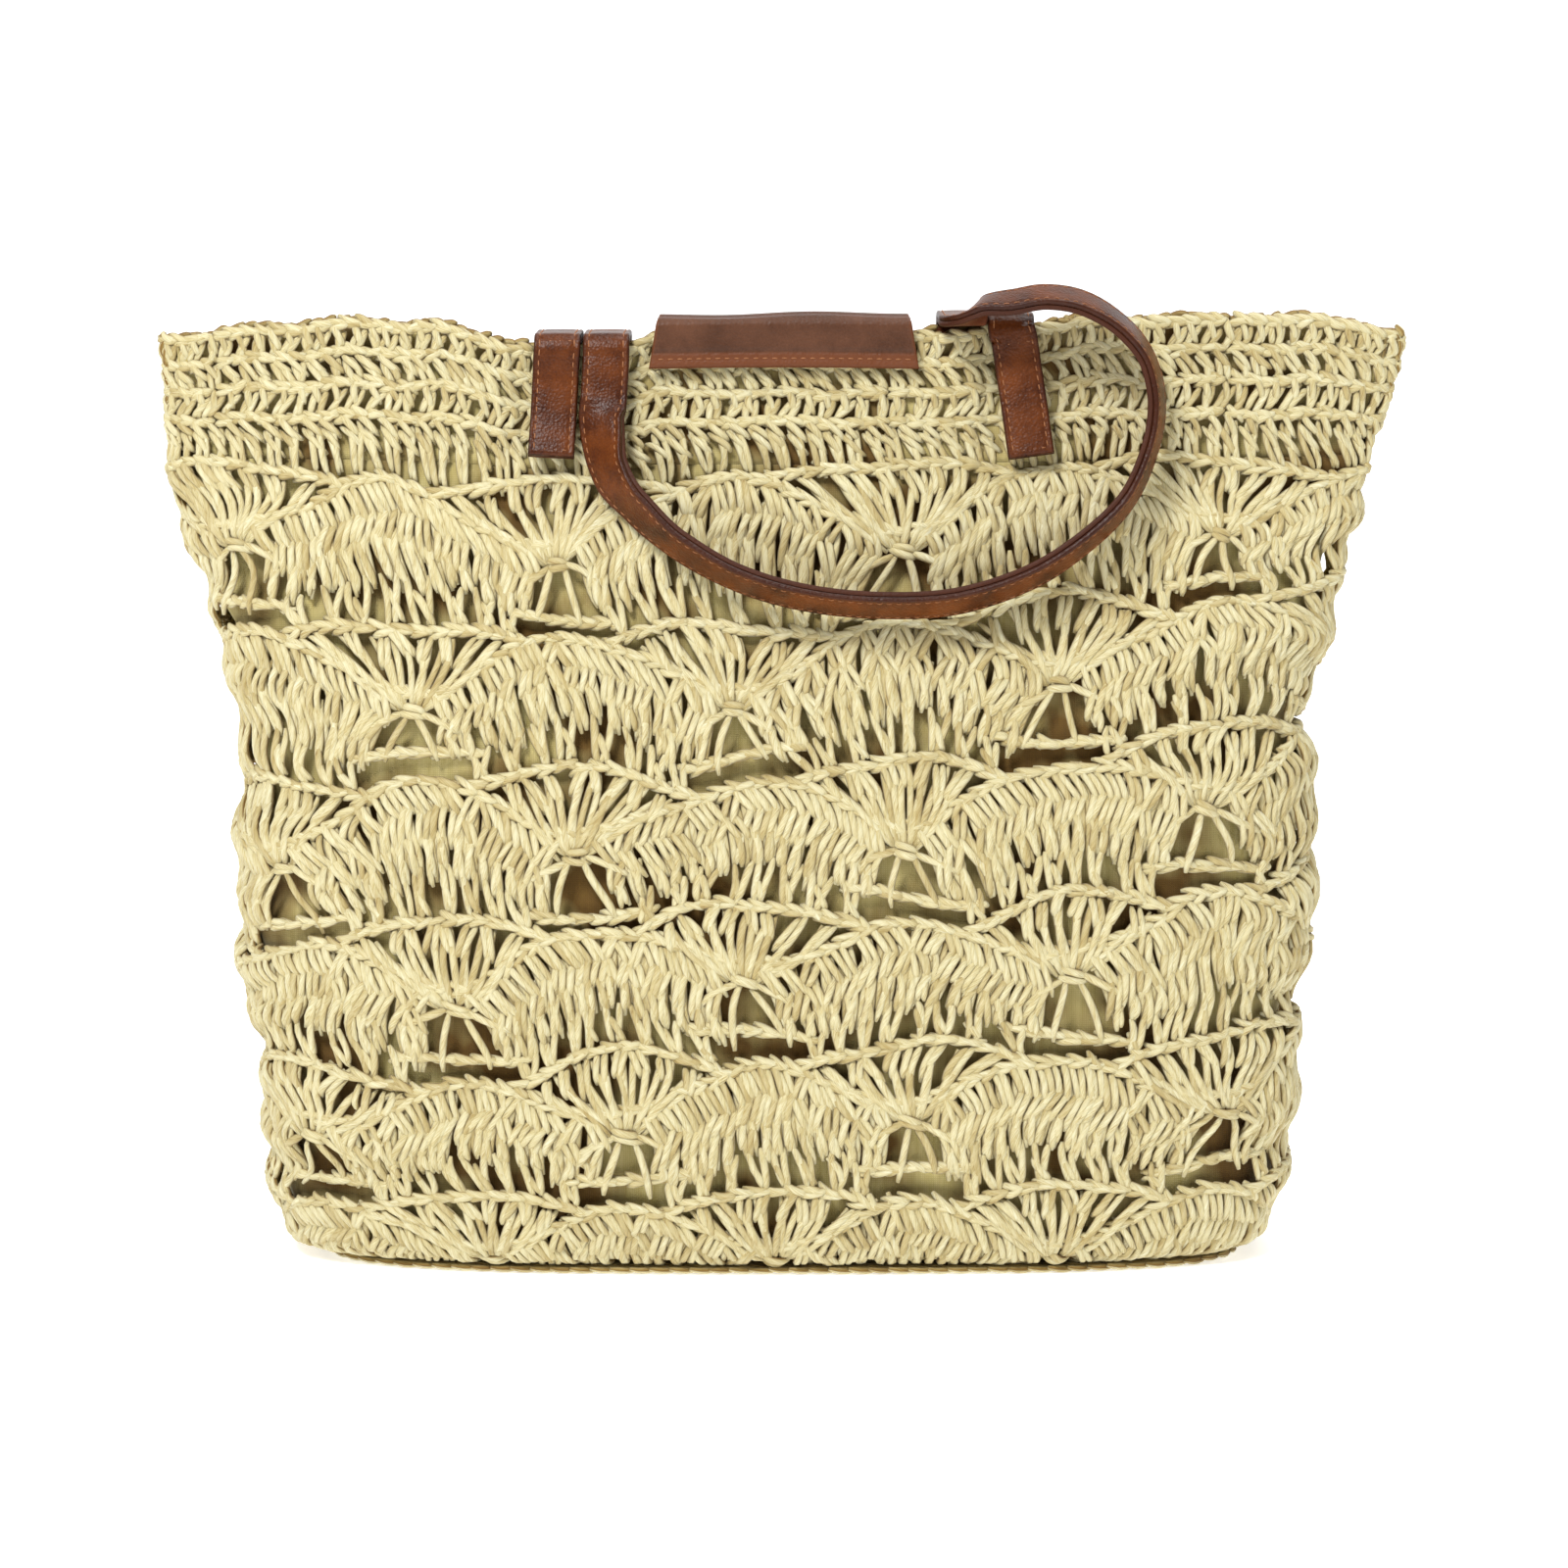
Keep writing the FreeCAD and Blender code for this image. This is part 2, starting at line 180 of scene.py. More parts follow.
def make_grid():
    """Points of the wall's outside at every grid level and column step."""
    levels = []
    turn = np.linspace(0.0, 2 * math.pi, 2401)
    wanted = np.linspace(-HALF_ROUND, HALF_ROUND, GRID_STEPS + 1)[:-1]
    for v in GRID_LEVELS:
        below = FLOOR_TURN + YARN - v
        angle = np.clip(below / FLOOR_TURN, 0.0, math.pi / 2)
        under = max(below - FLOOR_TURN * math.pi / 2, 0.0)
        z = v if below < 0 else YARN + FLOOR_TURN * (1 - math.sin(angle))
        inset = FLOOR_TURN * (1 - math.cos(angle)) + under
        half_width, half_depth, power = section_values(z)
        points = oval(np.sin(turn), -np.cos(turn), half_width - inset, half_depth - inset, power)
        length = run_length(points)
        round_length = length[-1]
        signed = np.where(turn <= math.pi, length, length - round_length)
        order = np.argsort(signed, kind="stable")
        signed, points = signed[order], points[order]
        share = 2 * signed / round_length
        shifted = signed + (3.0 + 0.07 * v) * (1 - share ** 2)
        pitch = front_pitch(v)
        spare = HALF_ROUND - round_length / (2 * pitch)
        column = shifted / pitch + spare * np.sign(shifted) * (2 * shifted / round_length) ** 2
        x, y = (np.interp(wanted, column, values, period=COLUMNS) for values in points.T)
        levels.append(np.stack([x, y, np.full_like(x, z)], axis=1))
    return np.array(levels)


GRID = make_grid()
ACROSS = np.roll(GRID, -1, axis=1) - np.roll(GRID, 1, axis=1)
NORMALS = unit(np.cross(ACROSS, np.gradient(GRID, axis=0)))


def grid_sample(values, column, v):
    """Bilinear sample of a grid at arrays of column and height."""
    i = (np.asarray(column) + HALF_ROUND) % COLUMNS / COLUMNS * GRID_STEPS
    j = (np.asarray(v) - GRID_LEVELS[0]) / (GRID_LEVELS[1] - GRID_LEVELS[0])
    j = np.clip(j, 0, len(GRID_LEVELS) - 1.001)
    i0, j0 = np.floor(i).astype(int), np.floor(j).astype(int)
    fi, fj = (i - i0)[..., None], (j - j0)[..., None]
    i0 = i0 % GRID_STEPS
    i1, j1 = (i0 + 1) % GRID_STEPS, j0 + 1
    low = values[j0, i0] * (1 - fi) + values[j0, i1] * fi
    high = values[j1, i0] * (1 - fi) + values[j1, i1] * fi
    return low * (1 - fj) + high * fj


def slipped(column, v):
    """The column and height after the soft lace has slipped: down at the left, up at the right,
    and in small swirls everywhere."""
    column, v = np.asarray(column, float), np.asarray(v, float)
    x = grid_sample(GRID, column, v)[..., 0]
    slip = 11.0 * np.sin(math.pi * np.clip(v, 0, 300) / 300) * x / 190.0
    turn = 2 * math.pi * column / COLUMNS
    rise = 2.4 * np.sin(3 * turn + 0.021 * v) + 1.9 * np.sin(7 * turn - 0.043 * v + 1.0)
    rise += 1.3 * np.sin(14 * turn + 0.06 * v + 2.0)
    drift = 2.8 * np.sin(0.046 * v + 4 * turn) + 1.9 * np.sin(0.087 * v - 8 * turn + 0.7)
    loose = smooth((LACE_TOP - v) / 30)
    held = smooth((v - 14) / 40) * loose
    return column + drift * held / front_pitch(v), v + (slip * loose + rise * held)


def fabric_relief(column, v):
    """Slow swells of the soft fabric, outward positive, in millimetres."""
    turn = 2 * math.pi * column / COLUMNS
    waves = 0.9 * np.sin(2 * turn + 0.03 * v + 0.6) * np.sin(0.045 * v + turn)
    waves += 0.6 * np.sin(6 * turn - 0.06 * v)
    rows = 1.1 * np.cos(2 * math.pi * (v - 7.5) / ROW_PITCH) * smooth((300 - v) / 20)
    return (waves + rows) * smooth((v - 8) / 40) - 0.4


# The rim's line seen from the front: x, and how far it stands above or below its mean height
RIM_LINE = np.array([
    (-217.0, -4.0), (-190.0, -0.5), (-150.0, 2.5), (-115.0, 1.0), (-88.0, -2.2), (-56.0, -1.8),
    (-40.0, -2.0), (0.0, -2.0), (50.0, -2.6), (86.0, -2.6), (105.0, 2.0), (124.0, 3.6), (150.0, 3.6),
    (180.0, 4.0), (200.0, 1.5), (217.0, -3.0),
])

# How far the soft rim has sunk at the left handle and stands higher at the right one: x, height
SLUMP = np.array([
    (-120.0, 0.0), (-95.0, -4.8), (-55.0, -4.8), (-45.0, -0.3), (45.0, 0.3), (60.0, 1.8),
    (95.0, 2.6), (120.0, 0.0),
])


def slump(x, z):
    """The share of the slump at a place, which fades out below the rim."""
    return np.interp(x, SLUMP[:, 0], SLUMP[:, 1]) * smooth((z - 262) / 60)


def settled(point, v):
    """The bag's own unevenness: sides that bulge differently, and the rim's wavy line."""
    x = point[..., 0]
    near_side = smooth((np.abs(x) / section_values(np.clip(v, 0, 334))[0] - 0.55) / 0.4)
    left = 5.5 + 5.0 * swell(v, 278, 22) + 4.0 * swell(v, 232, 16) + 3.0 * swell(v, 124, 18)
    left += 4.0 * swell(v, 15, 30) - 2.0 * swell(v, 330, 20)
    right = 4.0 * swell(v, 24, 34) + 2.5 * swell(v, 325, 18) - 3.0 * swell(v, 188, 22)
    scallop = 1.4 * np.sin(2 * math.pi * v / 23.0) * smooth((310 - v) / 20)
    point[..., 0] = x + near_side * np.where(x < 0, -left - scallop, right + scallop)
    rise = np.interp(x, RIM_LINE[:, 0], RIM_LINE[:, 1])
    point[..., 2] += rise * smooth((v - 270) / 60) + slump(x, v)
    return point


def wall_points(column, v, offset):
    """Points on the fabric, offset outward from the bag's outside, and their normals."""
    column, height = slipped(column, v)
    normal = unit(grid_sample(NORMALS, column, height))
    point = grid_sample(GRID, column, height)
    point = point + normal * (offset + fabric_relief(column, v))[..., None]
    return settled(point, v), normal


# Yarn: every strand is a cubic curve in pattern space, (across mm, height mm, depth mm), and
# all the strands of a piece are made into tubes at once.

JITTER = (0.6, 0.6, 0.24)
SURFACE_DROP = 2.9        # strands lie this far below the bag's outside at depth 0


class Yarn:
    """Collects strands, each with four control points, and the column they are measured from."""

    def __init__(self):
        self.column = 0.0
        self.controls, self.columns, self.radii = [], [], []

    def line(self, start, end, bulge=0.8, bow=0.0, radius=YARN):
        """A strand from start to end that swells outward and bows sideways in its middle."""
        controls = np.linspace(start, end, 4)
        controls[1:3] += (bow, 0.0, bulge)
        self.controls.append(controls + RANDOM.normal(0.0, 1.0, (4, 3)) * JITTER)
        self.columns.append(self.column)
        self.radii.append(radius * RANDOM.uniform(0.88, 1.12))


def braid(yarn, xs, vs, stitch=6.0, spread=2.0, depth=0.9):
    """A row of chain stitches along a curve, each a V that runs into the next."""
    line = np.stack([xs, vs], axis=1)
    length = run_length(line)
    count = max(int(round(length[-1] / stitch)), 1)
    for i in range(count):
        near, far = sample(np.array([i, i + 1.6]) * length[-1] / count, length, line)
        along = unit(far - near)
        for sign in (-1, 1):
            out = sign * spread * RANDOM.uniform(0.75, 1.25) * np.array([-along[1], along[0]])
            yarn.line((*(near + out), depth - 1.9), (*(far - 0.3 * out), depth - 0.8), bulge=2.1)


ROW_PITCH = 50.5
ARCH_RISE = 17.0
BAND = 31.0               # height of the dense stitches under an arch
POSTS = 17
LOWEST_PEAK = 27.5
TOP_ROW = 6
FAN_PAIRS = 8
FAN_HEIGHT = 27.0
FAN_DROP = 74.0           # a fan springs this far below the peak of its row
FAN_REACH = 0.34          # half width of a fan's chain, in repeats


def ridge(x, peak, pitch):
    """Height of the scalloped ridge line across one repeat."""
    return peak - ARCH_RISE * (1 - np.cos(2 * math.pi * np.asarray(x) / pitch)) / 2


def chain_line(x, base, pitch):
    """Height of the chain that a fan opens to."""
    share = np.asarray(x) / (FAN_REACH * pitch)
    return base + FAN_HEIGHT + 1.5 - 7.0 * share ** 2


def treble(yarn, top, foot):
    """One tall stitch: two strands from its top to its foot, slanted wraps over their upper end,
    and wraps the other way under those."""
    (x, v), (foot_x, foot_v) = top, foot
    turn = RANDOM.choice((-1.0, 1.0), p=(0.15, 0.85))
    slope = (foot_x - x) / (v - foot_v)
    first, second = RANDOM.uniform(9.0, 12.0), RANDOM.uniform(18.0, 22.0)
    middle, low = x + slope * first, x + slope * second
    for k in (-1, 1):
        end = (foot_x + 1.2 * k, foot_v + RANDOM.uniform(-1.5, 1.5), -0.9)
        yarn.line((x + 1.4 * k, v, -0.6), end, bulge=0.8, bow=RANDOM.uniform(-0.8, 0.8))
        shift = 1.35 * k
        start = (x - 3.2 * turn + shift, v + 1.4, -0.7)
        end = (middle + 2.7 * turn + shift, v - first - 1.0, -0.5)
        yarn.line(start, end, bulge=2.9, bow=0.7 * turn)
        start = (middle + 3.2 * turn + shift, v - first + 4.0, -0.9)
        end = (middle - 2.2 * turn + slope * first + shift, v - second, -0.8)
        yarn.line(start, end, bulge=2.7, bow=-0.6 * turn)
        start = (low - 2.0 * k * turn, v - second + 6.0, -0.8)
        end = (foot_x + 0.7 * k * turn, foot_v + RANDOM.uniform(-1.5, 1.5), -0.4)
        yarn.line(start, end, bulge=2.0, bow=1.2 * k * turn)


def arch(yarn, peak, pitch):
    """The ridge braid and the dense band of tall stitches that spread to it from below."""
    xs = np.linspace(-pitch / 2, pitch / 2, 25)
    braid(yarn, xs, ridge(xs, peak, pitch))
    for i in range(POSTS):
        x = ((i + 0.5) / POSTS - 0.5) * pitch * 0.88
        share = abs(2 * x / pitch)
        top = float(ridge(x, peak, pitch)) - 1.0
        length = BAND * (1 - 0.24 * share ** 2) + RANDOM.uniform(-2.5, 2.0)
        foot_x = x * 0.86 + RANDOM.uniform(-1.4, 1.6)
        treble(yarn, (x + RANDOM.uniform(-0.6, 0.6), top), (foot_x, top - length))


def ladder(yarn, half, count, top, bottom):
    """Open V stitches between two heights, which are functions of x."""
    for i in range(count):
        x = ((i + 0.5) / count - 0.5) * 2 * half + RANDOM.uniform(-1.5, 1.5)
        spread = half / count * RANDOM.uniform(0.35, 0.75)
        lean = RANDOM.uniform(-2.0, 2.0)
        for sign in (-1, 1):
            start = (x + sign * spread, top(x + sign * spread), 0.1)
            end = (x + lean + sign * 0.8, bottom(x), 0.3)
            yarn.line(start, end, bulge=0.7, bow=RANDOM.uniform(-1.2, 1.2))
        middle = (top(x) + bottom(x)) / 2
        start = (x - 2.2, middle + RANDOM.uniform(1.0, 5.0), -0.6)
        yarn.line(start, (x + 2.0, bottom(x) + 1.0, -0.4), bulge=2.2)


def fan(yarn, base, pitch):
    """Strand pairs that open upward from one stitch, to a chain line."""
    skew = RANDOM.uniform(-3.0, 3.0)
    for i in range(FAN_PAIRS):
        share = (i + 0.5) / FAN_PAIRS * 2 - 1
        x = share * 0.285 * pitch + skew + RANDOM.uniform(-1.2, 1.2)
        v = base + FAN_HEIGHT * (1.0 - 0.27 * share ** 2) + RANDOM.uniform(-1.5, 1.5)
        cross = RANDOM.choice((-1.0, 1.0))
        for sign in (-1, 1):
            start = (share * 5.0 + sign * 0.8, base - 0.5 * (1 - share ** 2), 0.1)
            end = (x + sign * 1.6 * cross, v, -0.6)
            yarn.line(start, end, bulge=RANDOM.uniform(1.6, 2.6), bow=share * 2.0 + 0.8 * sign)
        for k in (-1, 1):
            start = (x - 2.4 * cross + 1.3 * k, v + 1.5, -0.5)
            end = (x * 0.72 + 1.6 * cross + k, v - RANDOM.uniform(8.0, 12.0), -0.2)
            yarn.line(start, end, bulge=2.6, bow=0.8 * cross)
    for k in (-1.2, 0.8):
        yarn.line((-4.6, base + k + 0.8, -0.6), (5.0, base + k - 1.4, -0.6), bulge=3.2)


def below_fan(yarn, base):
    """The open place under a fan: two thin strands that part, and a slack chain."""
    for sign in (-1, 1):
        foot = (sign * RANDOM.uniform(7.0, 11.0), base - RANDOM.uniform(19.0, 24.0), 0.2)
        yarn.line((sign * 1.2, base - 1.0, 0.8), foot, bow=sign * 1.2)
        yarn.line((sign * 2.6, base - 0.5, 0.3), (sign * 16.0, base - 8.0, 0.5), bow=sign)
    low, high = RANDOM.uniform(-24.0, -14.0, 2)
    braid(yarn, np.linspace(-24, 24, 9), base + np.linspace(low, high, 9), spread=1.5, depth=0.0)


def lace_row(row):
    """All the repeats of one row. Fans stand under every arch, in the valleys of the row below."""
    yarn = Yarn()
    peak = LOWEST_PEAK + ROW_PITCH * row
    base = peak - FAN_DROP
    pitch = float(front_pitch(peak))
    for j in range(COLUMNS):
        yarn.column = j - HALF_ROUND + (0.5 if row % 2 == 0 else 0.0)
        if row < TOP_ROW:
            arch(yarn, peak, pitch)
        if row > 0:
            fan(yarn, base, pitch)
            xs = np.linspace(-0.36 * pitch, 0.36 * pitch, 15)
            braid(yarn, xs, chain_line(xs, base, pitch), spread=1.8)
        if 0 < row < TOP_ROW:
            ladder(yarn, FAN_REACH * pitch, 8,
                   lambda x: float(ridge(x, peak, pitch)) - BAND + 3.0,
                   lambda x: float(chain_line(x, base, pitch)) + 0.5)
        if row > 1:
            below_fan(yarn, base)
    return yarn


# The rows round the mouth: the height of each one's top, how many stitches it has, how much it
# leans, and how many wraps bind a stitch
RIM_ROWS = (
    (329.0, 160, 1.6, 1),
    (320.0, 150, -2.2, 1),
    (310.0, 150, 2.2, 1),
    (299.5, 140, -1.6, 2),
)
RIM_FOOT = 281.0
RIM_RADIUS = YARN * 0.92


def rim_rows():
    """The close rows round the mouth and the chains between them."""
    yarn = Yarn()
    half_pitch = float(front_pitch(310.0)) / 2
    feet = [row[0] for row in RIM_ROWS[1:]] + [RIM_FOOT]
    for (top, count, lean, wraps), foot in zip(RIM_ROWS, feet):
        for i in range(count):
            yarn.column = -HALF_ROUND + (i + RANDOM.uniform(-0.12, 0.12)) * COLUMNS / count
            turn = 1 if i % 2 == 0 else -1
            lean_here = lean + RANDOM.uniform(-1.6, 1.6)
            for sign in (-1, 1):
                start = (lean_here + 1.3 * sign, top - 1.5, -0.5)
                end = (-lean_here - 1.0 * sign * turn, foot + RANDOM.uniform(-0.8, 1.0), -0.5)
                yarn.line(start, end, bulge=1.9, bow=0.5 * sign, radius=RIM_RADIUS)
            for k in range(wraps):
                start = (lean - 2.8, top + 0.5 - 4.5 * k, -0.4)
                end = (2.2 - 0.4 * lean, top - 7.0 - 4.5 * k, -0.4)
                yarn.line(start, end, bulge=2.9, radius=RIM_RADIUS)
        for j in range(COLUMNS):
            yarn.column = j - HALF_ROUND
            xs = np.linspace(-half_pitch, half_pitch, 25)
            vs = np.full(25, top) + 0.9 * np.sin(xs / 6.0 + j) + 0.6 * np.sin(xs / 2.7 + 2 * j)
            braid(yarn, xs, vs, stitch=5.6, spread=1.7)
    return yarn


# Tubes

TUBE_STEPS = 9
TUBE_SIDES = 6
TUBE_TURNS = np.arange(TUBE_SIDES) / TUBE_SIDES * 2 * math.pi


def bezier(controls, steps):
    """Evenly stepped points of many cubic curves: controls is (strands, 4, 3)."""
    a, b, c, d = (controls[:, None, i, :] for i in range(4))
    t = np.linspace(0, 1, steps)[None, :, None]
    s = 1 - t
    return a * s ** 3 + 3 * b * s * s * t + 3 * c * s * t * t + d * t ** 3


def tubes(centres, normals, radii, flatten):
    """Closed tubes along many centrelines, with tapered ends: points and faces."""
    count, steps = centres.shape[:2]
    along = unit(np.gradient(centres, axis=1))
    side = unit(np.cross(along, normals))
    out = np.cross(side, along) * flatten
    taper = np.ones(steps)
    taper[[0, -1]] = 0.5
    taper[[1, -2]] = 0.84
    ring = side[:, :, None, :] * np.cos(TUBE_TURNS)[:, None]
    ring = ring + out[:, :, None, :] * np.sin(TUBE_TURNS)[:, None]
    points = centres[:, :, None, :] + ring * (radii[:, None] * taper)[:, :, None, None]
    base = (np.arange(count) * steps * TUBE_SIDES)[:, None]
    quads = base[:, :, None] + grid_quads(steps, TUBE_SIDES, True)
    around = np.arange(TUBE_SIDES)
    caps = np.concatenate([base + around[::-1], base + (steps - 1) * TUBE_SIDES + around])
    return points, [quads.reshape(-1, 4), caps]


def build_mesh(name, vertices, faces, material):
    """A smooth mesh object from vertices in millimetres and arrays of face corners."""
    mesh = bpy.data.meshes.new(name)
    corners = np.concatenate([part.reshape(-1) for part in faces]).astype(np.int32)
    totals = np.concatenate([np.full(len(part), part.shape[1]) for part in faces])
    starts = np.concatenate([[0], np.cumsum(totals)[:-1]]).astype(np.int32)
    mesh.vertices.add(len(vertices))
    mesh.vertices.foreach_set("co", (vertices * MM).astype(np.float32).ravel())
    mesh.loops.add(len(corners))
    mesh.loops.foreach_set("vertex_index", corners)
    mesh.polygons.add(len(totals))
    mesh.polygons.foreach_set("loop_start", starts)
    mesh.polygons.foreach_set("use_smooth", np.full(len(totals), True))
    mesh.update(calc_edges=True)
    mesh.validate()
    mesh.materials.append(material)
    obj = bpy.data.objects.new(name, mesh)
    bpy.context.scene.collection.objects.link(obj)
    return obj


def set_attribute(obj, name, values, shape):
    """A float on every vertex, which materials read by name."""
    attribute = obj.data.attributes.new(name, "FLOAT", "POINT")
    attribute.data.foreach_set("value", np.broadcast_to(values, shape).astype(np.float32).ravel())


def yarn_piece(name, centres, normals, radii, tones):
    """All the given strands as one mesh, with where each point lies along and round its strand."""
    points, faces = tubes(centres, normals, radii, flatten=0.86)
    obj = build_mesh(name, points.reshape(-1, 3), faces, STRAW)
    steps = np.linalg.norm(np.diff(centres, axis=1, prepend=centres[:, :1]), axis=2)
    shape = points.shape[:3]
    set_attribute(obj, "along", np.cumsum(steps, axis=1)[:, :, None], shape)
    set_attribute(obj, "round_sin", np.sin(TUBE_TURNS), shape)
    set_attribute(obj, "round_cos", np.cos(TUBE_TURNS), shape)
    set_attribute(obj, "tone", tones[:, None, None], shape)
    return obj


# Materials

class Finish:
    """A new material, and short ways to add nodes to it. An input is an output or a plain value."""

    def __init__(self, name):
        self.material = bpy.data.materials.new(name)
        self.material.use_nodes = True
        self.tree = self.material.node_tree
        self.shader = self.tree.nodes["Principled BSDF"].inputs

    def put(self, socket, value):
        """Links an output to a socket, or sets the socket's own value."""
        if isinstance(value, bpy.types.NodeSocket):
            self.tree.links.new(value, socket)
        else:
            socket.default_value = value

    def surface(self, name, value):
        """Sets one input of the material's shader."""
        self.put(self.shader[name], value)

    def node(self, kind, **settings):
        """Adds a node. Settings are its own or are those of its inputs."""
        node = self.tree.nodes.new("ShaderNode" + kind)
        for key, value in settings.items():
            if key in node.inputs:
                self.put(node.inputs[key], value)
            else:
                setattr(node, key, value)
        return node

    def place(self):
        """Where a point lies on the object."""
        return self.node("TexCoord").outputs["Object"]

    def attribute(self, name):
        """One of the mesh's own float attributes."""
        return self.node("Attribute", attribute_name=name).outputs["Fac"]

    def maths(self, operation, a, b=0.0):
        """A sum of one or two numbers."""
        node = self.node("Math", operation=operation)
        self.put(node.inputs[0], a)
        self.put(node.inputs[1], b)
        return node.outputs[0]

    def plus(self, a, b):
        """Two numbers added."""
        return self.maths("ADD", a, b)

    def times(self, a, b):
        """Two numbers multiplied."""
        return self.maths("MULTIPLY", a, b)

    def noise(self, vector, scale, detail, roughness=0.5):
        """Cloudy noise."""
        node = self.node("TexNoise", Vector=vector, Scale=scale, Detail=detail, Roughness=roughness)
        return node.outputs["Fac"]

    def ramp(self, value, *stops):
        """Colours along a value: (position, (r, g, b))."""
        node = self.node("ValToRGB", Fac=value)
        elements = node.color_ramp.elements
        while len(elements) < len(stops):
            elements.new(0.5)
        for element, (position, colour) in zip(elements, stops):
            element.position = position
            element.color = (*colour, 1.0)
        return node.outputs["Color"]

    def mix(self, a, b, factor=1.0, kind="MULTIPLY"):
        """Two colours mixed."""
        node = self.node("Mix", data_type="RGBA", blend_type=kind, Factor=factor, A=a, B=b)
        return node.outputs["Result"]

    def bump(self, height, strength, distance):
        """Fine relief on the surface."""
        node = self.node("Bump", Strength=strength, Distance=distance, Height=height)
        self.surface("Normal", node.outputs["Normal"])


def straw_material():
    """Twisted paper yarn: fine creases that wind slowly round each strand, and painted shade that browns
    each strand's flanks.
    """
    straw = Finish("straw_yarn")
    straw.surface("Specular IOR Level", 0.32)
    straw.surface("Sheen Weight", 0.12)
    along, tone = straw.attribute("along"), straw.attribute("tone")
    sine, cosine = straw.attribute("round_sin"), straw.attribute("round_cos")
    phase = straw.plus(straw.maths("ARCTAN2", sine, cosine), straw.times(along, 0.30))
    folds = straw.maths("SINE", straw.times(phase, 2.0))
    place = straw.node(
        "CombineXYZ",
        X=straw.times(straw.maths("SINE", phase), 1.6),
        Y=straw.times(straw.maths("COSINE", phase), 1.6),
        Z=straw.plus(straw.times(along, 0.10), straw.times(tone, 37.0)),
    ).outputs[0]
    lines = straw.plus(straw.noise(place, 2.6, 5.0, 0.6), straw.times(folds, 0.05))
    colour = straw.ramp(
        lines, (0.26, (0.33, 0.21, 0.07)), (0.37, (0.54, 0.45, 0.215)),
        (0.52, (0.66, 0.595, 0.35)), (0.76, (0.79, 0.765, 0.56)))
    strand = straw.ramp(
        tone, (0.0, (0.74, 0.66, 0.50)), (0.35, (0.95, 0.92, 0.84)), (1.0, (1.0, 1.0, 1.0)))
    # Painted shade: each strand is darkened to brown along its flanks, where it turns away from the bag's
    # outside, a little on its inner side, and left pale on its outer side.
    painted_flank_shade = straw.ramp(
        straw.plus(straw.times(sine, 0.5), 0.5), (0.0, (0.80, 0.74, 0.60)),
        (0.26, (0.52, 0.39, 0.19)), (0.44, (0.34, 0.205, 0.05)), (0.70, (1.0, 1.0, 1.0)))
    straw.surface("Base Color", straw.mix(straw.mix(colour, strand), painted_flank_shade))
    straw.surface("Roughness", straw.plus(straw.times(straw.noise(place, 9.0, 3.0), 0.25), 0.48))
    straw.bump(straw.plus(straw.times(folds, 0.12), lines), 0.7, 0.0006)
    return straw.material


def cloth_material():
    """The lining: plain woven cotton with slubs, in straw colour, under soft clouds of painted shade."""
    cloth = Finish("lining_cloth")
    cloth.surface("Roughness", 0.85)
    cloth.surface("Sheen Weight", 0.25)
    place = cloth.place()
    warp, weft = (
        cloth.node("TexWave", wave_type="BANDS", bands_direction=axis, Vector=place, Scale=420.0,
                   Distortion=1.2).outputs["Fac"] for axis in ("X", "Z"))
    weave = cloth.times(warp, weft)
    stretched = cloth.node("Mapping", Vector=place, Scale=(9.0, 9.0, 1.0)).outputs["Vector"]
    shade = cloth.plus(cloth.times(weave, 0.35), cloth.noise(stretched, 60.0, 6.0))
    colour = cloth.ramp(shade, (0.25, (0.46, 0.37, 0.11)), (0.95, (0.70, 0.61, 0.28)))
    # Painted shade: soft clouds of dark olive brown over the lining, for the shadow it lies in behind the
    # lace.
    painted_shade_clouds = cloth.ramp(
        cloth.noise(place, 34.0, 2.0), (0.40, (0.22, 0.13, 0.02)), (0.62, (1.0, 1.0, 1.0)))
    cloth.surface("Base Color", cloth.mix(colour, painted_shade_clouds))
    cloth.bump(weave, 0.4, 0.0003)
    return cloth.material


def leather_material(name, dark, light, edge_colour, roughness):
    """Smooth grained leather with cloudy dye, fine pores and darker worn edges."""
    leather = Finish(name)
    leather.surface("Specular IOR Level", 0.22)
    place = leather.place()
    cloud, fine = leather.noise(place, 70.0, 5.0, 0.6), leather.noise(place, 1500.0, 3.0)
    grain = leather.node("TexVoronoi", Vector=place, Scale=950.0).outputs["Distance"]
    speckle = leather.maths("SUBTRACT", leather.times(fine, 0.36), 0.18)
    tone = leather.ramp(leather.plus(cloud, speckle), (0.3, dark), (0.72, light))
    worn = leather.times(leather.attribute("edge"), 0.8)
    leather.surface("Base Color", leather.mix(tone, (*edge_colour, 1.0), worn, "MIX"))
    leather.surface("Roughness", leather.plus(leather.times(cloud, 0.22), roughness - 0.11))
    leather.bump(leather.plus(grain, fine), 0.34, 0.0004)
    return leather.material


def thread_material():
    """Waxed sewing thread, a little lighter than the leather."""
    thread = Finish("sewing_thread")
    thread.surface("Roughness", 0.5)
    noise = thread.noise(thread.place(), 2200.0, 2.0)
    colour = thread.ramp(noise, (0.3, (0.22, 0.075, 0.020)), (0.7, (0.36, 0.14, 0.045)))
    thread.surface("Base Color", colour)
    thread.bump(noise, 0.4, 0.0002)
    return thread.material


def metal_material():
    """Brushed antique brass for the hidden snap."""
    metal = Finish("snap_metal")
    metal.surface("Metallic", 1.0)
    noise = metal.noise(metal.place(), 900.0, 4.0)
    colour = metal.ramp(noise, (0.3, (0.45, 0.36, 0.18)), (0.7, (0.62, 0.52, 0.30)))
    metal.surface("Base Color", colour)
    metal.surface("Roughness", metal.plus(metal.times(noise, 0.3), 0.2))
    return metal.material


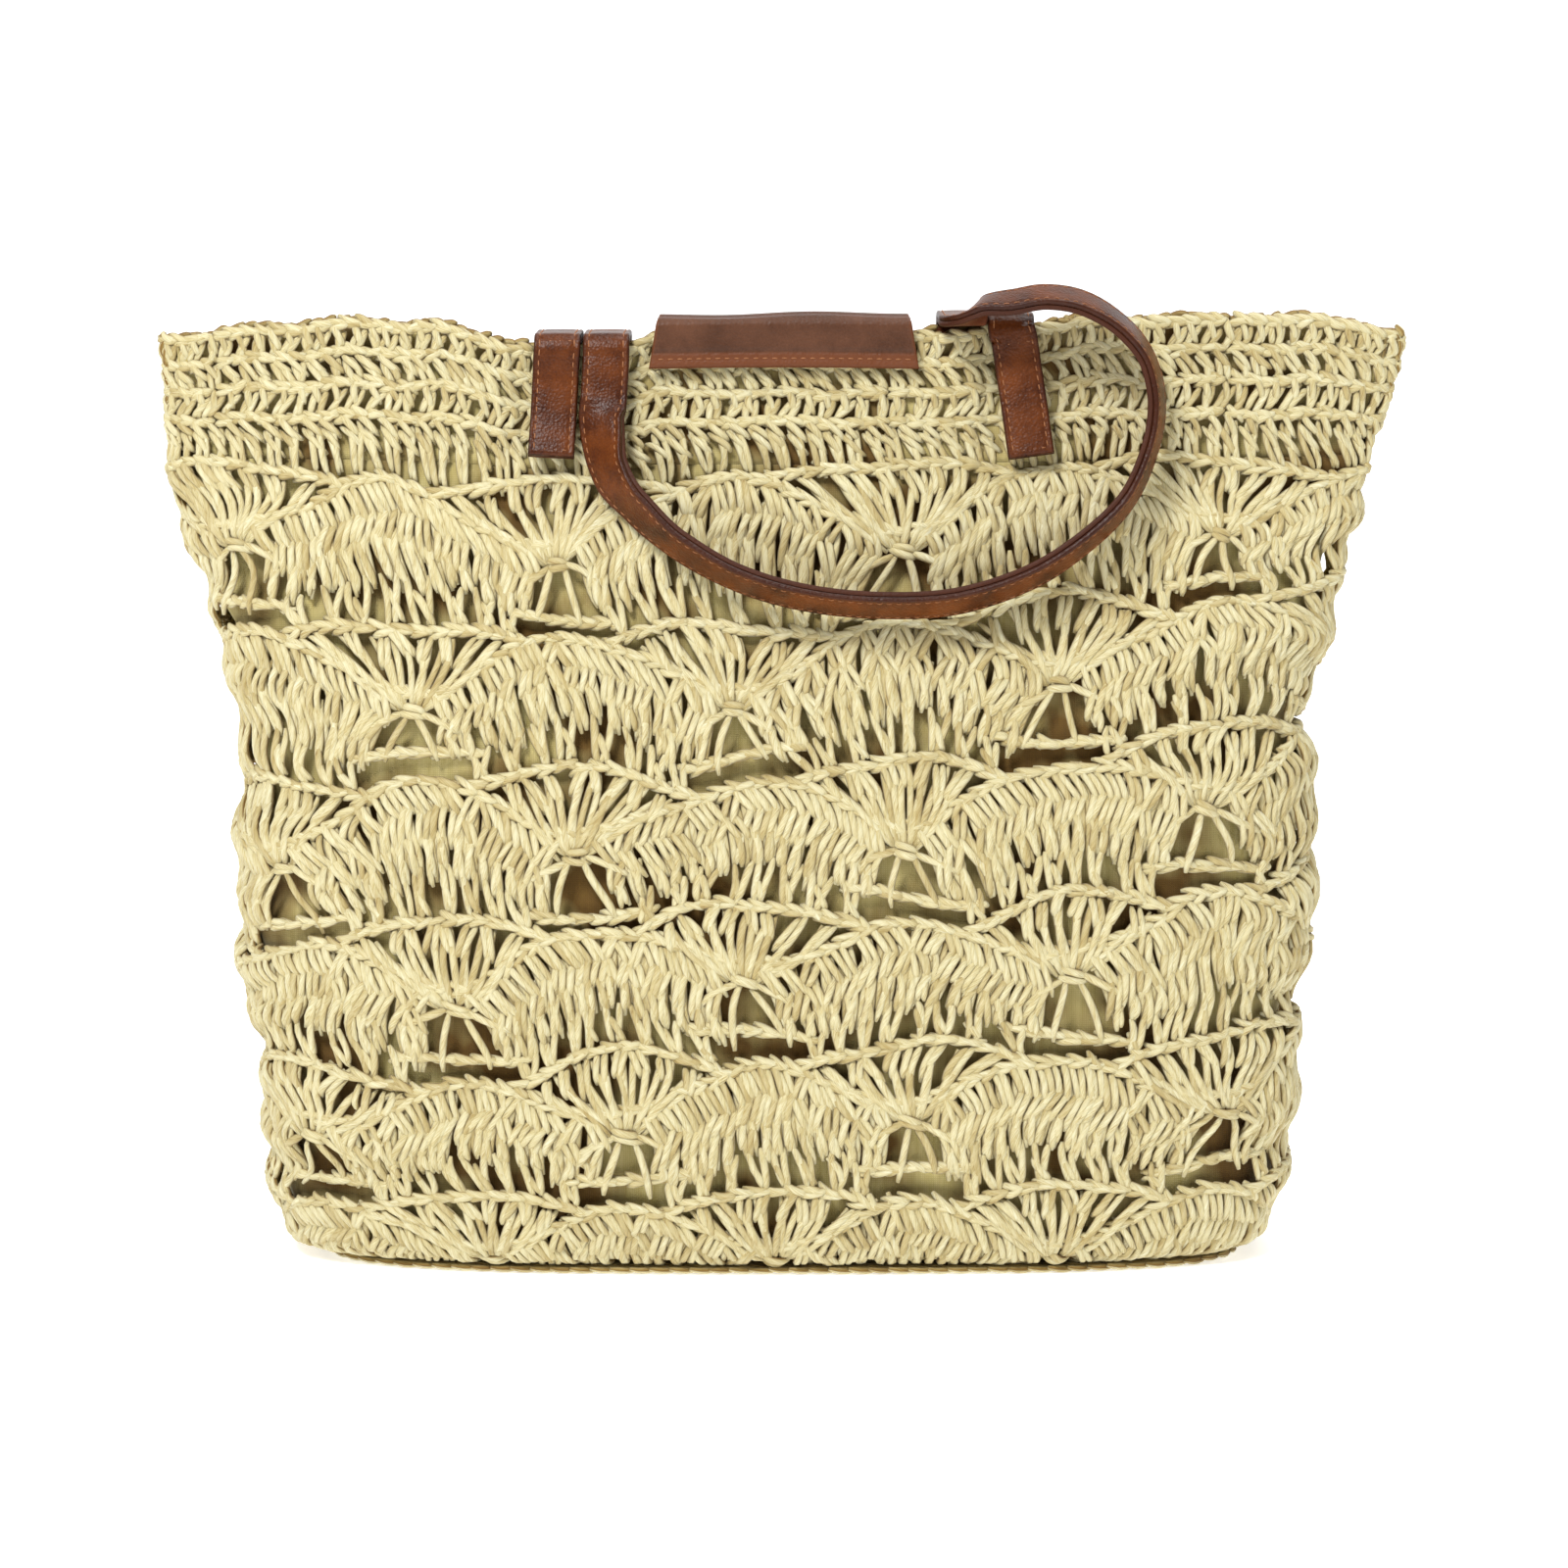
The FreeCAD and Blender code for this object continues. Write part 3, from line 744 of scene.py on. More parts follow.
STRAW = straw_material()
CLOTH = cloth_material()
LEATHER = leather_material(
    "leather", (0.030, 0.0055, 0.001), (0.150, 0.036, 0.004), (0.028, 0.005, 0.001), 0.36)
LEATHER_BACK = leather_material(
    "leather_backing", (0.065, 0.015, 0.004), (0.13, 0.034, 0.010), (0.042, 0.010, 0.003), 0.55)
PATCH_LEATHER = leather_material(
    "patch_leather", (0.062, 0.022, 0.009), (0.122, 0.047, 0.022), (0.15, 0.044, 0.014), 0.45)
THREAD = thread_material()
METAL = metal_material()


def paint_node(node, material):
    """Gives a CAD node that stays shown its finished material."""
    for material_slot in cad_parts[node].material_slots:
        material_slot.material = material


# Pieces that bend between two bodies

def bend_with(obj, bodies, weights, start, end):
    """Blends a piece between two bodies, with its own weight on every vertex."""
    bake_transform(obj, *bodies, start=start, end=end)
    attribute = obj.data.attributes["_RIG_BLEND"]
    attribute.data.foreach_set("value", np.asarray(weights, np.float32))


def ride_flap(obj, half):
    """The piece moves with the bag below the flap's hinge and with the flap above it."""
    points = np.zeros(len(obj.data.vertices) * 3, np.float32)
    obj.data.vertices.foreach_get("co", points)
    x, y, z = points.reshape(-1, 3).astype(float).T / MM
    weights = smooth((z - HINGE_HEIGHT) / 8.0) * smooth((FLAP_HALF_WIDTH - np.abs(x)) / 6.0)
    depth = SIDES[half] * float(section_values(HINGE_HEIGHT)[1]) * MM
    start = (0, depth, HINGE_HEIGHT * MM)
    end = (0, depth, (HINGE_HEIGHT + 10) * MM)
    bend_with(obj, ("bag", half + "_closure"), weights * (y * SIDES[half] > 0), start, end)


# Crochet

def press_in(points, normals):
    """Moves yarn inward under the sewn leather, so that the leather lies on it."""
    x, z = np.abs(points[..., 0]), points[..., 2]
    strap_x = np.where(points[..., 1] < 0, FRONT_STRAP_X, BACK_STRAP_X)
    tab = smooth((17.0 - np.abs(x - strap_x - 3.0)) / 5.0) * smooth((z - 278.0) / 6.0)
    patch = smooth((52.0 - x) / 5.0) * smooth((z - 306.0) / 6.0)
    return points - normals * (np.maximum(tab, patch) * 1.3)[..., None]


def make_crochet(name, yarn, flaps):
    """One band of lace, split into its front and its back."""
    curves = bezier(np.array(yarn.controls), TUBE_STEPS)
    v = curves[..., 1]
    column = np.array(yarn.columns)[:, None] + curves[..., 0] / front_pitch(v)
    points, normals = wall_points(column, v, curves[..., 2] - SURFACE_DROP)
    points = press_in(points, normals)
    radii = np.array(yarn.radii)
    tones = RANDOM.random(len(radii))
    middle = points[:, TUBE_STEPS // 2, 1]
    for half, side in SIDES.items():
        own = middle * side > 0
        obj = yarn_piece(name + "_" + half, points[own], normals[own], radii[own], tones[own])
        if flaps:
            ride_flap(obj, half)
            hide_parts("crochet_rim_left", "crochet_rim_right", "crochet_flap_" + half)
        else:
            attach(obj, "bag")
            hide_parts("crochet_body")


def make_walls():
    """All the lace of the walls, in bands."""
    for row in range(TOP_ROW):
        make_crochet("lace_row_" + str(row + 1), lace_row(row), flaps=False)
    for name, yarn in (("lace_top", lace_row(TOP_ROW)), ("rim_rows", rim_rows())):
        make_crochet(name, yarn, flaps=True)


BASE_STITCH = 7.0
BASE_ROUND = 5.2          # from one round of the base to the next
BASE_SPREAD = np.array([2.2, 1.6, 1.0, 0.3])
BASE_HEIGHTS = np.array([2.3, 1.5, 1.3, 1.8])


def make_base():
    """The crocheted base: oval rounds of chain stitches, from its edge to its middle."""
    controls, radii = [], []
    half_width, half_depth, power = section_values(2.0)
    turn = np.linspace(0, 2 * math.pi, 721)
    for inset in np.arange(3.0, half_depth - 4, BASE_ROUND):
        line = oval(np.cos(turn), np.sin(turn), half_width - inset, half_depth - inset, power)
        length = run_length(line)
        count = int(length[-1] / BASE_STITCH)
        for i in range(count):
            places = sample(np.linspace(i, i + 1.4, 4) / count * length[-1] % length[-1], length, line)
            along = unit(places[-1] - places[0])
            for sign in (-1, 1):
                off = BASE_SPREAD * sign
                x, y = places[:, 0] - along[1] * off, places[:, 1] + along[0] * off
                controls.append(np.stack([x, y, BASE_HEIGHTS + RANDOM.normal(0, 0.1, 4)], axis=1))
                radii.append(YARN * RANDOM.uniform(0.9, 1.08))
    curves = bezier(np.array(controls), 6)
    down = np.broadcast_to((0.0, 0.0, -1.0), curves.shape)
    obj = yarn_piece("crochet_base_rounds", curves, down, np.array(radii), RANDOM.random(len(radii)))
    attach(obj, "bag")
    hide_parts("crochet_base")


# Lining

LINING_DROP = 5.7
LINING_SIDE = 8.0         # the lining keeps this far from the bag's two sides
LINING_LEVELS = 90
LINING_STEPS = 512
LINING_THICKNESS = 0.7


def lining_sheet(name, columns, levels, closed):
    """A sheet of lining between two heights, over a range of columns."""
    column, v = np.meshgrid(columns, levels)
    turn = 2 * math.pi * column / COLUMNS
    wrinkle = 0.25 * np.sin(12 * turn + 0.05 * v) + 0.2 * np.sin(0.09 * v + 5 * turn)
    hem = 0.5 * smooth((v - 318) / 1.0)
    deep = 2.6 * smooth((296 - v) / 30) * smooth((v - 10) / 20)
    inward = LINING_DROP + deep - wrinkle + hem
    points = grid_sample(GRID, column, v) - grid_sample(NORMALS, column, v) * inward[..., None]
    widest = section_values(v)[0] - LINING_SIDE
    points[..., 0] = np.clip(points[..., 0], -widest, widest)
    quads = grid_quads(*column.shape, closed)
    obj = build_mesh(name, settled(points, v).reshape(-1, 3), [quads], CLOTH)
    thick = obj.modifiers.new("thickness", "SOLIDIFY")
    thick.thickness = LINING_THICKNESS * MM
    thick.offset = -1.0
    return obj


def make_lining():
    """The woven lining: a sewn tube, its two upper halves and its floor."""
    columns = np.linspace(-HALF_ROUND, HALF_ROUND, LINING_STEPS, endpoint=False)
    body = lining_sheet("lining_tube", columns, np.linspace(5.0, HINGE_HEIGHT, LINING_LEVELS), True)
    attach(body, "bag")
    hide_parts("lining_body")
    levels = np.concatenate([np.linspace(HINGE_HEIGHT, 317.5, 14), np.linspace(318, 327.5, 8)])
    quarter = COLUMNS / 4
    for half, middle in (("front", 0.0), ("back", HALF_ROUND)):
        columns = np.linspace(middle - quarter, middle + quarter, LINING_STEPS // 2)
        piece = lining_sheet("lining_top_" + half, columns, levels, False)
        ride_flap(piece, half)
        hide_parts("lining_rim_left", "lining_rim_right", "lining_flap_" + half)
    paint_node("lining_base", CLOTH)


# Stitches

STITCH_PITCH = 3.3
STITCH_LENGTH = 2.5
STITCH_RADIUS = 0.26
STITCH_INSET = 2.0
STITCH_LIFT = np.array([-0.5, 0.02, 0.1, 0.02, -0.5])
EDGE_ROW = STRAP_WIDTH / 2 - STITCH_INSET


def stitch_places(low, high):
    """Evenly spaced middles of the stitches in a row from low to high."""
    return np.arange(low + STITCH_PITCH / 2, high - STITCH_PITCH / 3, STITCH_PITCH)


def make_stitches(name, curves, normals):
    """Rounded stitches along short lines of points, as one piece."""
    radii = np.full(len(curves), STITCH_RADIUS)
    points, faces = tubes(np.array(curves), np.array(normals), radii, flatten=0.8)
    obj = build_mesh(name, points.reshape(-1, 3), faces, THREAD)
    return obj


# Leather straps

LAYER_GAP = 0.06          # from a strap's middle plane to each of its two layers
LAYER_CORNER = 0.55
FOLD_REACH = 9.0          # half the length of strap that bends at a fold
FOLD_RADIUS = 4.0


def resample(points, normals, step):
    """Evenly spaced centres and normals on a smooth curve through given points."""
    points, normals = np.array(points, float), np.array(normals, float)
    gaps = np.sqrt(np.linalg.norm(np.diff(points, axis=0), axis=1))
    knots = np.concatenate([[0], np.cumsum(gaps)])
    fine = np.linspace(0, knots[-1], 1200)
    curve = smooth_curve(knots, points, fine)
    index, t = span(knots, fine)
    turned = smooth(t)[:, None]
    faces = normals[index] * (1 - turned) + normals[index + 1] * turned
    length = run_length(curve)
    wanted = np.linspace(0, length[-1], max(int(length[-1] / step), 2) + 1)
    return sample(wanted, length, curve), sample(wanted, length, faces), wanted


def strap_frame(centre, face):
    """Side and face directions, square to the strap's run."""
    along = unit(np.gradient(centre, axis=0))
    face = unit(face - along * np.sum(face * along, axis=1, keepdims=True))
    return np.cross(face, along), face


def layer_profile(grooved):
    """Section of one leather layer, (across, through), with rounded corners, and how much each
    of its points is edge. A grooved one has a crown, and grooves where its stitches lie."""
    half, low, corner = STRAP_WIDTH / 2, LAYER_GAP, LAYER_CORNER
    across = np.concatenate([
        [-half, -half + 0.12, -half + corner], np.linspace(-half + 2 * corner, half - 2 * corner, 19),
        [half - corner, half - 0.12, half]])
    inward = half - np.abs(across)
    bend = np.clip(1 - inward / corner, 0, 1)
    top = STRAP_THICKNESS / 2 - corner * (1 - np.sqrt(1 - bend ** 2))
    if grooved:
        top += 0.22 * (1 - (across / half) ** 2) - 0.12 - 0.28 * swell(inward, STITCH_INSET, 0.55)
    edge = smooth((0.9 - inward) / 0.6)
    bottom = np.array([[half, low + 0.2], [half - 0.3, low], [-half + 0.3, low], [-half, low + 0.2]])
    profile = np.concatenate([np.stack([across, top], axis=1), bottom])
    return profile, np.concatenate([edge, np.ones(4)])


def sweep(name, centre, side, face, profile, edge, material):
    """A closed bar of the given section along a strap's route."""
    count, ring = len(centre), len(profile)
    points = centre[:, None] + side[:, None] * profile[:, 0:1] + face[:, None] * profile[:, 1:2]
    quads = grid_quads(count, ring, True)[:, [0, 3, 2, 1]]
    caps = np.stack([np.arange(ring), (count - 1) * ring + np.arange(ring)[::-1]])
    obj = build_mesh(name, points.reshape(-1, 3), [quads, caps], material)
    set_attribute(obj, "edge", edge, (count, ring))
    return obj


def strap_stitches(name, centre, side, face, length, start, bars):
    """A row of stitches along each edge of a strap from a start on, and rows across it at the
    bars. Also gives how far along the strap each vertex lies."""
    places = [(station, across, 1.0, 0.06) for across in (-EDGE_ROW, EDGE_ROW)
              for station in stitch_places(start, length[-1])]
    places += [(station, across, 0.06, 1.0) for station in bars
               for across in stitch_places(-EDGE_ROW, EDGE_ROW)]
    curves, normals, stations = [], [], []
    for station, across, run, cross in places:
        reach = np.linspace(-0.5, 0.5, len(STITCH_LIFT)) * STITCH_LENGTH
        at = station + run * reach
        off = (across + cross * reach)[:, None]
        middle, wide, out = (sample(at, length, rows) for rows in (centre, side, face))
        curves.append(middle + wide * off + out * (STRAP_THICKNESS / 2 - 0.16 + STITCH_LIFT)[:, None])
        normals.append(out)
        stations.append(at)
    return make_stitches(name, curves, normals), np.repeat(np.ravel(stations), TUBE_SIDES)


def fold_weights(stations, folds):
    """0 beyond the folds and 1 between them, or after the only one, for stations in millimetres."""
    weights = smooth((stations - folds[0] + FOLD_REACH) / (2 * FOLD_REACH))
    if len(folds) > 1:
        weights = weights * smooth((folds[1] + FOLD_REACH - stations) / (2 * FOLD_REACH))
    return weights


def make_strap(name, route, bodies, fold_points, replaced, stitched_from=0.0, bars=()):
    """Leather, backing and stitches of one stretch of strap, which bends at its folds. A route
    is a list of (point, normal)."""
    points, normals = (np.array(rows, float) for rows in zip(*route))
    fold_points = np.array(fold_points, float)
    for places in (points, fold_points):
        on_rim = smooth((places[:, 1] + 24.0) / 6.0)
        places[:, 2] += on_rim * slump(places[:, 0], places[:, 2])
    centre, face, length = resample(points, normals, 1.3)
    side, face = strap_frame(centre, face)
    folds = [length[np.argmin(np.linalg.norm(centre - p, axis=1))] for p in fold_points]
    top, top_edge = layer_profile(grooved=True)
    back, back_edge = layer_profile(grooved=False)
    at = np.repeat(length, len(top))
    leather = sweep(name + "_leather", centre, side, face, top, top_edge, LEATHER)
    backing = sweep(name + "_backing", centre, side, face, -back, back_edge, LEATHER_BACK)
    stitches, stitch_at = strap_stitches(
        name + "_stitches", centre, side, face, length, stitched_from * length[-1], bars)
    pieces = ((leather, at, "leather"), (backing, at, "backing"), (stitches, stitch_at, "thread"))
    for obj, stations, layer in pieces:
        weights = fold_weights(stations, folds)
        bend_with(obj, bodies, weights, tuple(centre[0] * MM), tuple(centre[-1] * MM))
        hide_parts(*[node + "_" + layer for node in replaced])


def over_rim(x, side):
    """The route over the rim's edge on one side, from the wall up to the rim's middle."""
    route = []
    for turn in (0, 30, 60, 90):
        angle = math.radians(turn)
        y = side * (FOLD_Y - FOLD_RADIUS * (1 - math.cos(angle)))
        point = (x, y, FOLD_Z - FOLD_RADIUS * (1 - math.sin(angle)))
        route.append((point, (0, side * math.cos(angle), math.sin(angle))))
    return route + [((x, y, FOLD_Z), (0, 0, 1)) for y in (side * 5.0, 0.0)]


def make_tab(name, handle, x, side, shift):
    """A sewn strap end that runs up the wall, folds over the rim and reaches the rim's middle."""
    route = []
    for drop in (TAB_DROP, 38.0, 30.0, 22.0, 14.0, 6.0):
        z = RIM_HEIGHT - drop
        across = x + shift * drop / TAB_DROP
        depth = float(wall_depth(across, z)) + STRAP_STAND_OFF + STRAP_THICKNESS / 2
        route.append(((across, side * max(depth, FOLD_Y), z), (0, side, 0)))
    fold = (x, side * (FOLD_Y - 1.0), FOLD_Z - 1.0)
    make_strap(name + "_strap", route + over_rim(x, side), ("bag", handle + "_bridge"), [fold],
               [name, handle + "_bridge"], 0.03, (STITCH_INSET, TAB_DROP - 5.0))


# The back handle's loop lies on the front of the bag: x, y, height above the rim, and how
# much its face turns from the loop's outside (0) to the front (1).
BACK_LOOP_ROUTE = [
    (-61.7, -14.7, -6.0, 1.0),
    (-61.8, -15.6, -9.0, 1.0),
    (-62.4, -18.6, -21.0, 1.0),
    (-63.0, -23.0, -34.0, 0.93),
    (-59.7, -31.0, -50.0, 0.8),
    (-50.8, -36.5, -61.4, 0.65),
    (-36.0, -41.5, -74.0, 0.55),
    (-15.3, -45.5, -85.0, 0.5),
    (8.0, -47.5, -91.5, 0.5),
    (34.0, -48.0, -94.0, 0.5),
    (60.0, -47.0, -92.5, 0.5),
    (85.0, -44.0, -84.5, 0.46),
    (104.0, -40.0, -72.5, 0.4),
    (118.0, -35.5, -59.0, 0.33),
    (126.0, -31.5, -42.0, 0.28),
    (128.5, -28.5, -26.0, 0.25),
    (125.0, -27.5, -11.0, 0.22),
    (116.0, -27.0, 0.2, 0.25),
    (103.0, -27.0, 8.0, 0.3),
    (90.0, -27.2, 10.2, 0.3),
    (78.5, -26.6, 8.4, 0.3),
]
BACK_LOOP_CORNER = 10.3
CORNER_START = 0.45
FLAT_SHARE = 0.85


def outside_of(points, i):
    """The direction out of a loop that lies in an upright plane, square to its run at a point."""
    before, after = points[max(i - 1, 0)], points[min(i + 1, len(points) - 1)]
    outside = np.array([after[2] - before[2], 0.0, before[0] - after[0]])
    return outside / np.linalg.norm(outside)


def make_back_loop():
    """The back handle's loop, draped over the front, with its two half bridges."""
    x = BACK_STRAP_X
    route = over_rim(-x, -1)[::-1]
    draped = [(px, py, RIM_HEIGHT + pz) for px, py, pz, _ in BACK_LOOP_ROUTE]
    for i, point in enumerate(draped):
        lean = BACK_LOOP_ROUTE[i][3]
        outside = outside_of(draped, i)
        route.append((point, outside * math.sqrt(1 - lean * lean) + np.array([0, -lean, 0])))
    start_z = draped[-1][2]
    for turn in (18, 40, 62, 90):
        angle = math.radians(270 - turn)
        share = turn / 90
        rise = start_z + (FOLD_Z - start_z) * float(smooth(share / FLAT_SHARE))
        corner_x = x + BACK_LOOP_CORNER * (1 + math.cos(angle))
        corner_y = -FOLD_Y - CORNER_START + BACK_LOOP_CORNER * math.sin(angle)
        route.append(((corner_x, corner_y, rise), (0, -0.3 * (1 - share), 1)))
    route += [((x, y, FOLD_Z), (0, 0, 1)) for y in (-FOLD_Y + 3.0, -5.0, 0.0)]
    folds = [(-x, -FOLD_Y + 1.0, FOLD_Z - 1.0), (x, -FOLD_Y, FOLD_Z)]
    own = ("back_bridge", "back_loop")
    make_strap("back_loop_strap", route, own, folds, own)


FRONT_LOOP_DROP = 143.0
FRONT_LOOP_STEPS = 14


def make_front_loop():
    """The front handle's loop, a U that hangs behind the bag, with its two half bridges."""
    radius = FRONT_STRAP_X
    straight = FRONT_LOOP_DROP - radius
    leg = [(-radius, -5.0), (-radius, -12.0), (-radius, -22.0), (-radius, -40.0)]
    turns = np.linspace(0, math.pi, FRONT_LOOP_STEPS + 1)
    bend = [(-radius * math.cos(a), -straight - radius * math.sin(a)) for a in turns]
    hanging = [(x, 0, z) for x, z in leg + bend + [(-x, z) for x, z in leg[::-1]]]
    route = over_rim(-radius, 1)[::-1]
    for i, (x, _, z) in enumerate(hanging):
        share = np.clip((-z - 10.0) / 90.0, 0.0, 1.0)
        lean = 1.0 - 0.5 * float(smooth(share))
        turned = math.sqrt(1 - lean * lean)
        stand_off = STRAP_STAND_OFF + STRAP_WIDTH / 2 * turned + STRAP_THICKNESS / 2
        depth = float(wall_depth(x, RIM_HEIGHT + z)) + stand_off + 2.0 * share
        point = (x, max(depth, FOLD_Y), RIM_HEIGHT + z)
        route.append((point, outside_of(hanging, i) * turned + np.array([0, lean, 0])))
    route += over_rim(radius, 1)
    folds = [(x, FOLD_Y - 1.0, FOLD_Z - 1.0) for x in (-radius, radius)]
    own = ("front_bridge", "front_loop")
    make_strap("front_loop_strap", route, own, folds, own)


def make_handles():
    """Both strap handles. The first word of a name says on which wall its tabs are sewn."""
    make_tab("front_left_tab", "front", -FRONT_STRAP_X, -1, -2.0)
    make_tab("front_right_tab", "front", FRONT_STRAP_X, -1, 7.0)
    make_tab("back_left_tab", "back", -BACK_STRAP_X, 1, 1.0)
    make_tab("back_right_tab", "back", BACK_STRAP_X, 1, -3.0)
    make_back_loop()
    make_front_loop()


# Closure patches

PATCH_THICKNESS = 1.7
PATCH_FOOT = 15.5          # how far the patch's lower edge lies below the rim
PATCH_TOP_HALF = 44.0
PATCH_FOOT_HALF = 47.0
PATCH_INSIDE = 8.2         # from the wall's outside to the middle of the patch's inner leg
PATCH_CREST = 1.9
STITCH_RISE = 3.1          # stitches above the patch's lower edge
CREASE_RISE = 5.6


def slab(name, upper, lower, material):
    """A closed sheet between two grids of points."""
    rows, columns = upper.shape[:2]
    count = rows * columns
    grid = np.arange(count).reshape(rows, columns)
    top = grid_quads(rows, columns, False)
    bottom = top[:, ::-1] + count
    border = np.concatenate([grid[0, :-1], grid[:-1, -1], grid[-1, :0:-1], grid[:0:-1, 0]])
    following = np.roll(border, -1)
    rim = np.stack([following, border, border + count, following + count], axis=-1)
    vertices = np.concatenate([upper.reshape(-1, 3), lower.reshape(-1, 3)])
    return build_mesh(name, vertices, [top, bottom, rim], material)


def patch_line(side):
    """The patch's middle line over the rim: up the wall, round the rim's edge and down inside."""
    crown = RIM_HEIGHT - 0.5
    wall_z = np.linspace(RIM_HEIGHT - PATCH_FOOT, crown, 8)
    wall = wall_depth(np.zeros(8), wall_z)
    outer, inner = wall + np.linspace(0.9, 1.6, 8), wall - PATCH_INSIDE
    fold = np.radians(np.linspace(20, 160, 8))
    fold_y = (outer[-1] + inner[-1]) / 2 + (outer[-1] - inner[-1]) / 2 * np.cos(fold)
    y = np.concatenate([outer, fold_y, inner[::-1]])
    z = np.concatenate([wall_z, crown + PATCH_CREST * np.sin(fold), wall_z[::-1]])
    line = np.stack([np.zeros_like(y), side * y, z], axis=1)
    centre, _, length = resample(line, np.zeros_like(line), 0.8)
    return centre, length


def make_patch(half, side):
    """Leather folded over the rim's middle, creased and stitched along its lower edge."""
    centre, length = patch_line(side)
    along = np.gradient(centre, axis=0)
    out = unit(np.stack([np.zeros(len(along)), side * along[:, 2], -side * along[:, 1]], axis=1))
    ends = [-1.0, -0.996, -0.99, -0.983]
    share = np.concatenate([ends, np.linspace(-0.97, 0.97, 75), np.negative(ends[::-1])])
    rise = np.repeat(length[:, None], len(share), axis=1)
    mirrored = length[-1] - rise
    from_foot = np.minimum(rise, mirrored)
    flare = (PATCH_TOP_HALF - PATCH_FOOT_HALF) * np.clip(from_foot / 18.0, 0, 1)
    x = share * (PATCH_FOOT_HALF + flare)
    wave = 0.35 * np.sin(x / 9.0 + 0.6) * smooth(from_foot / 8.0) + 0.4 * np.sin(x / 23.0)
    points = np.repeat(centre[:, None, :], len(share), axis=1)
    points[..., 0] = x
    points[..., 1] += side * (wall_depth(x[0], RIM_HEIGHT) - wall_depth(0, RIM_HEIGHT))
    points[..., 2] += wave * smooth((from_foot - 14.0) / 6.0) + 0.5 * np.cos(x / 30.0)
    normals = np.repeat(out[:, None, :], len(share), axis=1)
    groove = 0.55 * swell(from_foot, CREASE_RISE, 0.75) + 0.3 * swell(from_foot, STITCH_RISE, 0.6)
    border = np.minimum((1 - np.abs(share)) * PATCH_TOP_HALF, from_foot)
    rounding = np.sqrt(1 - (1 - np.clip(border / 0.8, 0, 1)) ** 2) * 0.94 + 0.06
    thick = PATCH_THICKNESS / 2 * rounding
    upper = points + normals * (thick - groove)[..., None]
    lower = points - normals * thick[..., None]
    patch = slab(half + "_patch_leather", upper, lower, PATCH_LEATHER)
    band = smooth((CREASE_RISE - 0.3 - from_foot) / 0.6) * (rise < mirrored)
    worn = np.maximum(band, 0.9 * smooth((1.1 - border) / 0.8))
    set_attribute(patch, "edge", worn, (2, *worn.shape))
    row = int(np.argmin(np.abs(length - STITCH_RISE)))
    lift = PATCH_THICKNESS / 2 - 0.2 + STITCH_LIFT
    curves = []
    for start in np.arange(-PATCH_FOOT_HALF + 3.0, PATCH_FOOT_HALF - 3.0, STITCH_PITCH):
        at = start + np.linspace(0, 1, len(STITCH_LIFT)) * STITCH_LENGTH
        curves.append(sample(at, points[row, :, 0], points[row]) + normals[row, 0] * lift[:, None])
    flat = np.broadcast_to(normals[row, 0], (len(curves), len(STITCH_LIFT), 3))
    stitches = make_stitches(half + "_patch_stitches", curves, flat)
    for piece, node in ((patch, half + "_patch"), (stitches, half + "_patch_thread")):
        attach(piece, half + "_closure")
        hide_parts(node)


def make_closures():
    """Both patches, and the finish of the snap inside them."""
    for half, side in SIDES.items():
        make_patch(half, side)
        paint_node(half + "_magnet", METAL)
        paint_node(half + "_washer", METAL)


# The studio

PAPER_HALF_WIDTH = 5.0
PAPER_FRONT, PAPER_BACK = -4.0, 3.0
PAPER_BEND = 1.2
PAPER_TOP = 2.6
LAMPS = (                 # name, place, size and power
    ("key", (-0.7, -1.3, 1.9), 0.6, 46.0),
    ("fill", (1.6, -1.5, 0.9), 1.4, 3.5),
    ("top", (0.5, 0.3, 2.1), 1.2, 21.0),
)


def add_object(name, data):
    """A new object in the scene."""
    obj = bpy.data.objects.new(name, data)
    bpy.context.scene.collection.objects.link(obj)
    return obj


